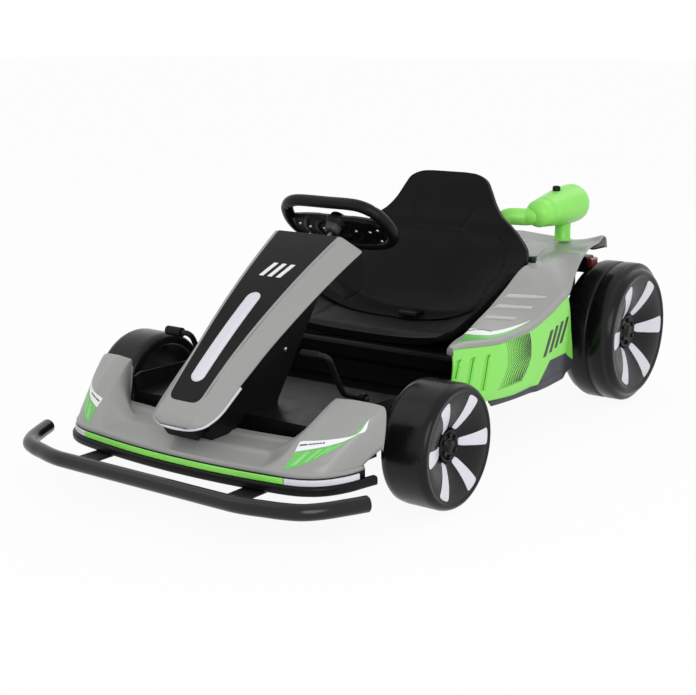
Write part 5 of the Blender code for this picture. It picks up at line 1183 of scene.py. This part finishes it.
DECK = [
    # y, outer x, seam z, inner x, top z
    (-0.141, 0.2580, 0.2210, 0.2460, 0.2275), (-0.118, 0.2585, 0.2190, 0.2380, 0.2290),
    (-0.060, 0.2630, 0.2125, 0.2250, 0.2310), (0.000, 0.2690, 0.2080, 0.2150, 0.2440),
    (0.050, 0.2700, 0.2090, 0.2100, 0.2575), (0.100, 0.2700, 0.2120, 0.2085, 0.2790),
    (0.180, 0.2680, 0.2290, 0.2085, 0.3150), (0.225, 0.2646, 0.2420, 0.2075, 0.3180),
    (0.260, 0.2620, 0.2520, 0.1900, 0.3185), (0.310, 0.2500, 0.2850, 0.1720, 0.3190),
    (0.350, 0.2450, 0.3110, 0.1600, 0.3195), (0.400, 0.2370, 0.3230, 0.1500, 0.3205),
    (0.440, 0.2350, 0.3270, 0.1430, 0.3210), (0.466, 0.2345, 0.3320, 0.1397, 0.3215),
]


def deck_top(y, share):
    """The slanted top of the left deck arm: share 0 at the crease and 1 at the inner edge."""
    y, share = np.broadcast_arrays(y, share)
    outer, seam, inner, top = (reading(DECK, c, y) for c in (1, 2, 3, 4))
    crease_x, edge_x = outer - 0.006, inner + 0.004
    crease = np.maximum(np.minimum(seam + 0.011, top - 0.001), seam + 0.003)
    power = 1.15 + 0.65 * np.clip((y - 0.22) / 0.12, 0.0, 1.0)
    rise = 1 - (1 - np.clip(share, 0, 1)) ** power
    return np.stack([crease_x + (edge_x - crease_x) * share, y, crease + (top - crease) * rise], axis=-1)


def deck_corners(y):
    """Corners of a left deck arm's section: seam, bevel band, crease, slanted top and inner edge."""
    outer, seam, inner, top = (reading(DECK, c, y) for c in (1, 2, 3, 4))
    slope = [deck_top(y, share) for share in (0.0, 0.2, 0.4, 0.6, 0.8)]
    crease = slope[0][:, 2]
    bevel = [(outer, seam + 0.0006), (outer - 0.0006, seam + 0.6 * (crease - seam))]
    edge = [(inner + 0.004, top), (inner, top - 0.004), (inner, top - 0.012)]
    below, beyond = ([np.stack([x, y, z], axis=-1) for x, z in places] for places in (bevel, edge))
    return np.stack(below + slope + beyond, axis=-2)


def mirrored(surface, side):
    """A surface of the left side, or its mirror image for the right one."""
    flip = np.array([float(side), 1.0, 1.0])
    return lambda u, v: surface(*np.broadcast_arrays(u, v)) * flip


TIP_TURN = [
    # back and up from the arm's last row, along the roll behind the upturned tip
    (0.0040, -0.0004), (0.0080, -0.0026), (0.0110, -0.0066), (0.0126, -0.0116), (0.0134, -0.0166),
    (0.0140, -0.0206), (0.0145, -0.0236),
]


def tip_roll(row):
    """Rows that roll over behind the arm's last row: less at the inner edge, and flatter where it is low."""
    turn = np.array(TIP_TURN)[:, None]
    share = 0.35 + 0.65 * soft_step(row[:, 0], 0.150, 0.205)
    drop = np.clip(row[:, 2] - 0.3055, 0.0060, 0.0236) / 0.0236
    roll = np.repeat(row[None], len(turn), axis=0)
    roll[..., 1] += turn[..., 0] * share
    roll[..., 2] += turn[..., 1] * share * drop
    return roll


def tip_bead(row):
    """Rings of the bead that runs just under the roll's last row."""
    under = row[np.argsort(row[:, 0])]
    x = np.linspace(0.176, 0.229, 40)
    line = np.column_stack([x, reading(under, 1, x), reading(under, 2, x) - 0.0008])
    return tube(line, 0.0021, 12)


def make_deck_arms():
    """Grey arms from the cockpit sides to the tail, closed in front, with a black bead under the tip."""
    y = np.concatenate([np.linspace(-0.141, 0.440, 150), np.linspace(0.4425, 0.466, 14)])
    rows = along_polyline(deck_corners(y), 72, 1)
    tip = soft_step(y, 0.430, 0.466)[:, None]
    outward = soft_step(rows[..., 0], 0.165, 0.234)
    rows[..., 2] += tip * outward * 0.0040 * soft_step(rows[..., 2], 0.300, 0.322)
    rows[..., 1] += tip * (0.010 - 0.018 * outward)
    edge = rows[:1] + np.array([0.0, -0.0010, -0.0008])
    front = edge + np.array([0.0, -0.0004, 0.0])
    front[..., 2] = np.minimum(front[..., 2], 0.2120)
    roll = tip_roll(rows[-1])
    bead = tip_bead(roll[-1])
    rows = np.concatenate([front, edge, rows, roll])
    for side, word in SIDES:
        mesh = sheet("deck_" + word, rows * (side, 1, 1), (side, 0, 2))
        arm = piece("deck_" + word, mesh, GREY, "chassis", "grey_panel", "deck_arm_" + word)
        wall(arm, 0.0024)
        mesh = loft("tip_bead_" + word, bead * (side, 1, 1))
        piece("tip_bead_" + word, mesh, BLACK, "chassis", "black_plastic")


RIBS = [
    # y and share at even steps from the front end to the rear end
    ((0.0956, 0.874), (0.1145, 0.674), (0.1356, 0.490), (0.1597, 0.328), (0.1875, 0.188)),
    ((0.0604, 0.904), (0.0761, 0.699), (0.0941, 0.524), (0.1142, 0.373), (0.1356, 0.227)),
    ((0.0193, 0.875), (0.0329, 0.690), (0.0476, 0.530), (0.0631, 0.388), (0.0799, 0.260)),
]


def make_deck_ribs():
    """Three straight ribs on each arm: their height falls off as a flattened arch across and at the ends."""
    t = np.linspace(0, 1, 49)
    w = np.linspace(-1, 1, 13)[None, :]
    height = 0.0030 * (1 - w ** 4) * np.sqrt(1 - (2 * t[:, None] - 1) ** 12)
    for side, word in SIDES:
        face = (mirrored(deck_top, side), (side * 0.3, 0, 1))
        for k, stations in enumerate(RIBS):
            line = smooth_line(stations, len(t))
            y = line[:, :1] + 0.0062 * w
            share = line[:, 1:] + 0 * w
            mesh = patch_on("deck_rib", face, y, share, height, 0.0004)
            # painted highlight: the ribs take a lighter copy of the deck's grey
            piece("deck_rib_%s_%d" % (word, k), mesh, RIB_HIGHLIGHT, "chassis", "grey_panel")


DECK_FILMS = {
    # y and share of the arm's top along both edges of each film
    "white_upper": [(-0.0352, 0.990), (-0.0168, 0.534), (0.0095, 0.249), (0.0547, 0.137), (0.1128, 0.057)],
    "white_lower": [(-0.0600, 0.990), (-0.0369, 0.379), (-0.0087, 0.162), (0.0396, 0.070), (0.1105, 0.052)],
    "green_upper": [(-0.0622, 0.970), (-0.0385, 0.365), (-0.0100, 0.150), (0.0390, 0.062), (0.1085, 0.046)],
    "green_lower": [(-0.1235, 0.064), (-0.0900, 0.010), (-0.0400, 0.010), (0.0199, 0.010), (0.1060, 0.036)],
}


def make_deck_marks():
    """Printed film on each arm: a white band with black dashes above a green one, both drawn to a point."""
    for side, word in SIDES:
        face = (mirrored(deck_top, side), (side * 0.3, 0, 1))
        make_film_bands("deck", word, face, DECK_FILMS)
        make_dashes("deck", word, face, (-0.0453, 0.985), (0.0454, -0.745), (0.0018, 0.0))


def bridge_face(across, along):
    """Top of the tail bridge between the arms: dished by 6 mm in the middle and turned up at the lip."""
    across, along = np.broadcast_arrays(across, along)
    front, side_end = 0.286, 0.476
    lip = side_end + 0.072 * (1 - np.abs(across) ** 1.2)
    y = front + (lip - front) * along
    side_y = front + (side_end - front) * along
    half = reading(DECK + [(0.476, 0.2345, 0.332, 0.1395, 0.3215)], 3, side_y) - 0.0012
    top = reading(DECK, 4, np.minimum(y, 0.44)) - 0.004
    z = top - 0.006 * (1 - across ** 2) + 0.008 * np.maximum(along - 0.8, 0) / 0.2
    return np.stack([half * across, y, z], axis=-1)


def make_bridge():
    """Grey tail bridge with three shallow channels, and the black edge under its lip."""
    across = np.linspace(-1, 1, 121)[:, None]
    along = np.linspace(0, 1, 81)[None, :]
    points = bridge_face(across, along)
    begun, not_ended = soft_step(along, 0.15, 0.20), 1 - soft_step(along, 0.72, 0.78)
    for middle in (-0.45, 0.0, 0.45):
        groove = np.exp(-((across - middle) / 0.035) ** 4) * begun * not_ended
        points[..., 2] -= 0.0018 * groove
    mesh = sheet("bridge_top", points, (0, 0, 1))
    bridge = piece("bridge_top", mesh, GREY, "chassis", "grey_panel", "tail_bridge")
    wall(bridge, 0.0032)
    under = points[3:-3, 3:].copy()
    under[..., 2] -= 0.0034
    under = under[:, ::3]
    mesh = slab("bridge_under", under, under - np.array([0, 0.0006, 0.0014]))
    piece("bridge_under", mesh, BLACK, "chassis", "black_plastic")


SIDE_EDGE = [
    # station, y and z of the lower edge, y of the upper edge
    (0, -0.134, 0.1600, -0.141), (1, -0.120, 0.1260, -0.118), (2, -0.050, 0.1110, -0.060),
    (3, 0.010, 0.1050, 0.000), (4, 0.062, 0.1010, 0.050), (5, 0.147, 0.1030, 0.100),
    (6, 0.190, 0.1400, 0.180), (7, 0.270, 0.1385, 0.225), (8, 0.350, 0.1060, 0.258),
]
GILLS = (
    # y of the gill's step at its top, where the painted shade line lies, height of its top and of its foot,
    # lean
    (-0.1133, 0.1995, 0.1680, 0.33), (-0.0730, 0.1960, 0.1510, 0.22), (-0.0306, 0.1930, 0.1310, 0.18),
)


def side_face(y, z):
    """Outer face of the left side panel: it follows the deck arm in plan and draws in towards the bottom."""
    y, z = np.broadcast_arrays(y, z)
    drop = np.maximum(reading(DECK, 2, y) - z, 0.0)
    return np.stack([reading(DECK, 1, y) - 0.0012 - 0.35 * drop ** 2, y, z], axis=-1)


def gill_relief(y, z):
    """Depth of the three louvres: each sinks over 22 mm towards its line and comes straight out behind it."""
    depth = 0.0
    for line, high, low, lean in GILLS:
        behind = y - (line + lean * (z - high))
        sunk = soft_step(behind, -0.022, -0.001) * (1 - soft_step(behind, 0.0, 0.0016))
        above_foot = soft_step(z, low - 0.008, low)
        below_top = 1 - soft_step(z, high - 0.004, high + 0.004)
        depth = depth + 0.0048 * sunk * above_foot * below_top
    return depth


TUCK_HEIGHT, TUCK_LEAN = 0.014, 0.34


def side_tuck(y, below):
    """How far the lower fold of the side leans in: it grows down to the lower edge, as far as the step."""
    reach = soft_step(y, -0.128, -0.100) * (1 - soft_step(y, 0.120, 0.147))
    return TUCK_LEAN * np.clip(below, 0.0, TUCK_HEIGHT) * reach


def sunk_side(y, z):
    """The left side panel's face with its louvres."""
    points = side_face(y, z)
    points[..., 0] -= gill_relief(*np.broadcast_arrays(y, z))
    return points


def make_side_panels():
    """Green side panels with three moulded gills and a tucked-in lower fold, hanging from the arms' seam."""
    t = np.linspace(0, 8, 321)[:, None]
    knots = np.asarray(SIDE_EDGE, float)
    low_y, low_z, top_y = (np.interp(t, knots[:, 0], knots[:, c]) for c in (1, 2, 3))
    share = np.linspace(0, 1, 81)[None, :]
    y = low_y + (top_y - low_y) * share
    z = low_z + (reading(DECK, 2, top_y) - low_z) * share
    points = sunk_side(y, z)
    points[..., 0] -= side_tuck(y, TUCK_HEIGHT - (z - low_z))
    for side, word in SIDES:
        mesh = sheet("side_" + word, points * (side, 1, 1), (side, 0, 0))
        panel = piece("side_" + word, mesh, GREEN, "chassis", "green_panel", "side_panel_" + word)
        wall(panel, 0.0026)


DASH_COLUMNS = 15
DASH_EDGE = [
    # height and y of the dashes' rear edge
    (0.118, 0.0715), (0.134, 0.0900), (0.150, 0.1020), (0.163, 0.1075), (0.185, 0.1060), (0.209, 0.0976),
]


def dash_places():
    """Corners (y, z) of the slanted dashes, row by row: each is smaller than the one behind it."""
    dashes = []
    for z in np.arange(0.1240, 0.2070, 0.0040):
        rear = float(reading(DASH_EDGE, 1, z))
        for k in range(DASH_COLUMNS):
            size = 1 - k / DASH_COLUMNS
            y = rear - 0.0058 * k
            length, thick = 0.0022 + 0.0030 * size, 0.0006 + 0.0018 * size
            dashes.append([(y - length, z + 0.9 * length), (y, z), (y, z + thick),
                           (y - length, z + 0.9 * length + thick)])
    return np.asarray(dashes)


def make_dash_field(side, word, surface, corners):
    """All dashes of one side in one piece: small boxes that reach just into the panel and just out of it."""
    order = np.array([[0, 1, 2, 3], [7, 6, 5, 4], [0, 4, 5, 1], [1, 5, 6, 2], [2, 6, 7, 3], [3, 7, 4, 0]])
    faces = (order[None] + 8 * np.arange(len(corners))[:, None, None]).reshape(-1, 4).tolist()
    points = surface(corners[..., 0], corners[..., 1])
    boxes = np.concatenate([points + (side * 0.0006, 0, 0), points - (side * 0.0004, 0, 0)], axis=1)
    mesh = make_mesh("side_dashes_" + word, boxes, faces)
    piece("side_dashes_" + word, mesh, FILM_BLACK, "chassis", "green_panel")


def make_slashes(word, face):
    """Four slashes that lean forwards at the rear of the panel."""
    for k in range(4):
        y, z = 0.158 + 0.024 * k, 0.152 + 0.004 * k
        quad = [(y, z), (y + 0.011, z), (y + 0.037, z + 0.046), (y + 0.026, z + 0.046)]
        mesh = skin_patch("slash", face, quad, (3, 10), 0.0007, 0.0003)
        piece("side_slash_%s_%d" % (word, k), mesh, FILM_BLACK, "chassis", "green_panel")


def make_gill_shade_lines(word, face):
    """A painted shade line along each gill's step: a dark green film where the step's shadow falls."""
    for k, (line, high, low, lean) in enumerate(GILLS):
        foot = line - lean * (high - low)
        quad = [(foot - 0.0007, low), (line - 0.0007, high), (line + 0.0005, high), (foot + 0.0005, low)]
        # painted shade: the film lies where the gill's step casts its shadow
        mesh = skin_patch("gill_line", face, quad, (24, 4), 0.0011, 0.0003)
        piece("gill_line_%s_%d" % (word, k), mesh, PAINTED_GILL_SHADE, "chassis", "green_panel")


def make_side_marks():
    """Side panel marks: a printed field of dashes that grow rearwards, printed slashes and painted gill shade
    lines.
    """
    corners = dash_places()
    for side, word in SIDES:
        surface = mirrored(sunk_side, side)
        face = (surface, (side, 0, 0))
        make_dash_field(side, word, surface, corners)
        make_slashes(word, face)
        make_gill_shade_lines(word, face)


SILL = [
    # station, y and z of the upper edge, y and z of the lower edge
    (0, -0.020, 0.1076, -0.015, 0.0970), (1, 0.010, 0.1050, 0.010, 0.0955), (2, 0.062, 0.1010, 0.062, 0.0930),
    (3, 0.147, 0.1030, 0.147, 0.0905), (4, 0.190, 0.1400, 0.190, 0.0890), (5, 0.270, 0.1385, 0.270, 0.0875),
    (6, 0.350, 0.1060, 0.350, 0.0905), (7, 0.354, 0.1042, 0.354, 0.0915),
]


def make_sills():
    """Slate sills whose raised insert fills the step of the side panel, with a rolled lower edge."""
    t = np.linspace(0, 7, 141)[:, None]
    knots = np.asarray(SILL, float)
    top_y, top_z, low_y, low_z = (np.interp(t, knots[:, 0], knots[:, c]) for c in (1, 2, 3, 4))
    share = np.linspace(0, 1, 31)[None, :]
    y = low_y + (top_y - low_y) * share
    z = low_z + (top_z + 0.0004 - low_z) * share
    points = side_face(y, z)
    inset = 0.0014 * soft_step(z, 0.1035, 0.1050) - 0.0012 * (1 - soft_step(z, low_z + 0.004, low_z + 0.007))
    points[..., 0] -= inset + side_tuck(y, np.full(y.shape, TUCK_HEIGHT))
    for side, word in SIDES:
        mesh = sheet("sill_trim_" + word, points * (side, 1, 1), (side, 0, 0))
        sill = piece("sill_trim_" + word, mesh, SLATE, "chassis", "slate_plastic", "sill_" + word)
        wall(sill, 0.0024)


# Muffler

MUFFLER_FRONT = np.array([0.150, 0.322, 0.3878])
MUFFLER_AXIS = unit(np.array([0.0, 0.160, 0.0085]))
POST_FOOT = np.array([0.150, 0.442, 0.0])
CAP_CENTRE = np.array([0.150, 0.410, 0.4255])
KNOB_CENTRE = np.array([0.2145, 0.202, 0.3172])
UP = (0, 0, 1)


def make_muffler():
    """Green dummy muffler on its post: rounded front, a fine step, a cone to the rear and a black tip."""
    a = np.linspace(0, math.pi / 2, 12)
    dome = np.stack([0.0272 * np.sin(a), 0.0190 * (1 - np.cos(a))], axis=1)
    body = [(0.0278, 0.0360), (0.0292, 0.0380), (0.0296, 0.0440), (0.0296, 0.0470), (0.0312, 0.0560),
            (0.0346, 0.0840), (0.0372, 0.1060), (0.0384, 0.1260), (0.0388, 0.1480), (0.0380, 0.1580),
            (0.0356, 0.1640), (0.0310, 0.1680), (0.0262, 0.1690), (0.0, 0.1690)]
    mesh = turned_body("muffler_can", np.vstack([dome, body]), 96, MUFFLER_FRONT, MUFFLER_AXIS)
    piece("muffler_can", mesh, GREEN, "chassis", "green_panel", "muffler")
    tip = [(0.0, 0.1680), (0.0262, 0.1680), (0.0270, 0.1700), (0.0270, 0.1730), (0.0252, 0.1745),
           (0.0222, 0.1745), (0.0206, 0.1730), (0.0200, 0.1700), (0.0, 0.1696)]
    mesh = turned_body("muffler_tip", tip, 72, MUFFLER_FRONT, MUFFLER_AXIS)
    piece("muffler_tip", mesh, BLACK, "chassis", "black_plastic", "muffler_outlet")
    post = [(0.0, 0.3242), (0.0178, 0.3242), (0.0180, 0.3262), (0.0160, 0.3290), (0.0155, 0.3500),
            (0.0165, 0.3640), (0.0178, 0.3740), (0.0, 0.3740)]
    mesh = turned_body("muffler_post", post, 56, POST_FOOT, UP)
    piece("muffler_post", mesh, GREEN, "chassis", "green_panel")


def fluted_body(name, profile, narrowing, centre):
    """An upright turned body, narrowed by a factor for each point of the profile and each segment."""
    rings = turned(profile, narrowing.shape[1], centre, UP)
    rings[..., :2] = centre[:2] + (rings[..., :2] - centre[:2]) * narrowing[..., None]
    return make_mesh(name, rings, grid_faces(*rings.shape[:2], False, True))


def make_muffler_cap():
    """Black cap on the muffler with a knurled side."""
    profile = np.array([(0.0, 0.0), (0.0075, 0.0), (0.0078, 0.0008), (0.0078, 0.0088), (0.0070, 0.0100),
                        (0.0050, 0.0111), (0.0030, 0.0114), (0.0, 0.0114)])
    a = np.linspace(0, 2 * math.pi, 72, endpoint=False)
    height = profile[:, 1:]
    knurl = 1 - 0.035 * (np.cos(a * 18) > 0) * ((height > 0.0005) & (height < 0.0098))
    mesh = fluted_body("muffler_cap_top", profile, knurl, CAP_CENTRE)
    piece("muffler_cap_top", mesh, BLACK, "muffler_cap", "black_plastic", "muffler_cap")


def make_pipe():
    """Green pipe from the muffler's dome, bent in and down to the bridge, with a foot flange."""
    turns = [(0.1495, 0.3440, 0.3893), (0.1455, 0.3370, 0.3862), (0.1380, 0.3325, 0.3832),
             (0.1267, 0.3290, 0.3816), (0.1140, 0.3200, 0.3824), (0.1030, 0.3125, 0.3826),
             (0.0935, 0.3070, 0.3790), (0.0860, 0.3045, 0.3710), (0.0805, 0.3050, 0.3590),
             (0.0768, 0.3080, 0.3440), (0.0740, 0.3120, 0.3290), (0.0722, 0.3150, 0.3150)]
    path = smooth_line(turns, 120)
    piece("pipe", loft("pipe", tube(path, 0.0166, 40)), GREEN, "chassis", "green_panel", "muffler_pipe")
    flange = [(0.0, 0.0), (0.0225, 0.0), (0.0230, 0.0010), (0.0226, 0.0026), (0.0190, 0.0034), (0.0, 0.0034)]
    centre = np.array([path[-1, 0], path[-1, 1] - 0.0008, 0.3128])
    mesh = turned_body("pipe_flange", flange, 56, centre, UP)
    piece("pipe_flange", mesh, GREEN, "chassis", "green_panel")


def make_knob():
    """Drive knob on its boss: fluted side and a rounded top."""
    profile = np.array([(0.0, 0.0), (0.0060, 0.0), (0.0063, 0.0008), (0.0060, 0.0094), (0.0052, 0.0108),
                        (0.0030, 0.0111), (0.0, 0.0111)])
    a = np.linspace(0, 2 * math.pi, 64, endpoint=False)
    height = profile[:, 1:]
    flute = 1 - 0.08 * (0.5 + 0.5 * np.cos(a * 8)) * ((height > 0.0005) & (height < 0.0100))
    mesh = fluted_body("knob_grip", profile, flute, KNOB_CENTRE)
    piece("knob_grip", mesh, BLACK, "drive_knob", "black_plastic", "drive_knob")
    boss = [(0.0, 0.2980), (0.0080, 0.2980), (0.0080, 0.3162), (0.0072, 0.3170), (0.0, 0.3170)]
    mesh = turned_body("knob_boss", boss, 40, KNOB_CENTRE * (1, 1, 0), UP)
    piece("knob_boss", mesh, GREY, "chassis", "grey_panel")


LAMP_PARTS = (
    # name, inner x, outer x, low z and high z, y of three outlines from front to rear, material, slot
    ("lamp_bezel_", (0.1240, 0.1925, 0.2580, 0.2905), (0.470, 0.500, 0.5035), BLACK, "black_plastic"),
    ("lamp_lens_", (0.1320, 0.1985, 0.2640, 0.2860), (0.480, 0.5065, 0.5088), RED, "red_lens"),
)


def make_tail_lights():
    """Red lenses with rounded edges that wrap round the outer end of black bezels on the rear body."""
    size = np.array([1.0, 1.0, 0.94])[:, None, None]
    for side, word in SIDES:
        for name, corners, depths, material, slot in LAMP_PARTS:
            ring = rounded_box(*corners, 0.0040, 6)
            flat = ring.mean(axis=0) + (ring - ring.mean(axis=0)) * size
            y = np.asarray(depths)[:, None] + 0 * flat[..., 0]
            rings = np.stack([side * flat[..., 0], y, flat[..., 1]], axis=-1)
            nodes = ["tail_light_" + word] if material is RED else []
            piece(name + word, loft(name + word, rings), material, "chassis", slot, *nodes)


# Room

WHITE = (1, 1, 1, 1)
LAMPS = (
    # name, place, diameter, power
    ("key", (2.5, -2.2, 1.4), 2.0, 36),
    ("fill", (-1.4, -1.5, 2.6), 2.2, 6),
    ("back", (0.6, 2.4, 2.2), 1.8, 8),
)


def direct_ray(nodes, links):
    """1 for rays from the camera, from reflections and through clear pieces, and 0 for scattered light."""
    path = add(nodes, "ShaderNodeLightPath")
    most = add(nodes, "ShaderNodeMath", operation="MAXIMUM")
    last = add(nodes, "ShaderNodeMath", operation="MAXIMUM")
    wire(links, (path, "Is Camera Ray", most, 0), (path, "Is Glossy Ray", most, 1), (most, "Value", last, 0),
         (path, "Is Transmission Ray", last, 1))
    return last.outputs["Value"]


def mixed(nodes, links, share, first, second, output):
    """Puts a mix of two shaders on the output: the share is the second one's."""
    mix = add(nodes, "ShaderNodeMixShader")
    links.new(share, mix.inputs["Fac"])
    links.new(first, mix.inputs[1])
    links.new(second, mix.inputs[2])
    links.new(mix.outputs["Shader"], nodes[output].inputs["Surface"])


def make_floor():
    """Seamless white floor. Directly seen it is mostly plain white, and it keeps a share of its shadows."""
    floor = bpy.data.meshes.new("floor")
    floor.from_pydata([(-30, -30, 0), (30, -30, 0), (30, 30, 0), (-30, 30, 0)], [], [(0, 1, 2, 3)])
    obj = bpy.data.objects.new("floor", floor)
    bpy.context.scene.collection.objects.link(obj)
    material, nodes, links, shader = new_material("studio floor")
    put(shader, {"Base Color": (0.97, 0.97, 0.97, 1), "Roughness": 0.8, "Specular IOR Level": 0.0})
    plain = add(nodes, "ShaderNodeEmission", {"Color": WHITE})
    share = add(nodes, "ShaderNodeMath", {1: 0.93}, operation="MULTIPLY")
    links.new(direct_ray(nodes, links), share.inputs[0])
    mixed(nodes, links, share.outputs["Value"], shader.outputs["BSDF"], plain.outputs["Emission"],
          "Material Output")
    floor.materials.append(material)


def make_world():
    """White world: brighter where it is directly seen than in the light it gives."""
    world = bpy.data.worlds.new("studio")
    world.use_nodes = True
    nodes, links = world.node_tree.nodes, world.node_tree.links
    ground = nodes["Background"]
    put(ground, {"Color": WHITE, "Strength": 0.70})
    seen = add(nodes, "ShaderNodeBackground", {"Color": WHITE, "Strength": 1.0})
    mixed(nodes, links, direct_ray(nodes, links), ground.outputs["Background"], seen.outputs["Background"],
          "World Output")
    bpy.context.scene.world = world


def make_lamps():
    """A large soft lamp in front and two weaker ones, all aimed at the kart's middle."""
    for name, place, size, power in LAMPS:
        data = bpy.data.lights.new(name, "AREA")
        data.shape = "DISK"
        data.size = size
        data.energy = power
        lamp = bpy.data.objects.new(name, data)
        lamp.location = place
        lamp.rotation_euler = (Vector((0, 0, 0.15)) - Vector(place)).to_track_quat("-Z", "Y").to_euler()
        bpy.context.scene.collection.objects.link(lamp)


def make_camera():
    """Camera at the photograph's angle and distance, with its slight roll."""
    azimuth, elevation, distance = math.radians(36.288), math.radians(13.032), 2.538
    target = Vector((-0.0401, -0.0405, 0.1647))
    back = Vector((math.sin(azimuth) * math.cos(elevation), -math.cos(azimuth) * math.cos(elevation),
                   math.sin(elevation)))
    roll = Quaternion((0, 0, 1), math.radians(-0.108))
    data = bpy.data.cameras.new("camera")
    data.sensor_width = 36
    data.lens = 36 * 1369.8 / 696
    camera = bpy.data.objects.new("camera", data)
    camera.location = target + back * distance
    camera.rotation_euler = ((-back).to_track_quat("-Z", "Y") @ roll).to_euler()
    bpy.context.scene.collection.objects.link(camera)
    bpy.context.scene.camera = camera
    bpy.context.scene.view_settings.view_transform = "Standard"


dress_solids()
make_wheels()
make_strips()
make_cowl()
make_fender_marks()
make_bumper()
make_cover()
make_panel()
make_light_bar()
make_panel_marks()
make_cover_lip()
make_housing_bolts()
make_rim()
make_wheel_plate()
make_wheel_fittings()
make_pedals()
make_seat_shell()
make_belt()
make_deck_arms()
make_deck_ribs()
make_deck_marks()
make_bridge()
make_side_panels()
make_side_marks()
make_sills()
make_muffler()
make_muffler_cap()
make_pipe()
make_knob()
make_tail_lights()
make_floor()
make_world()
make_lamps()
make_camera()

bpy.context.view_layer.update()
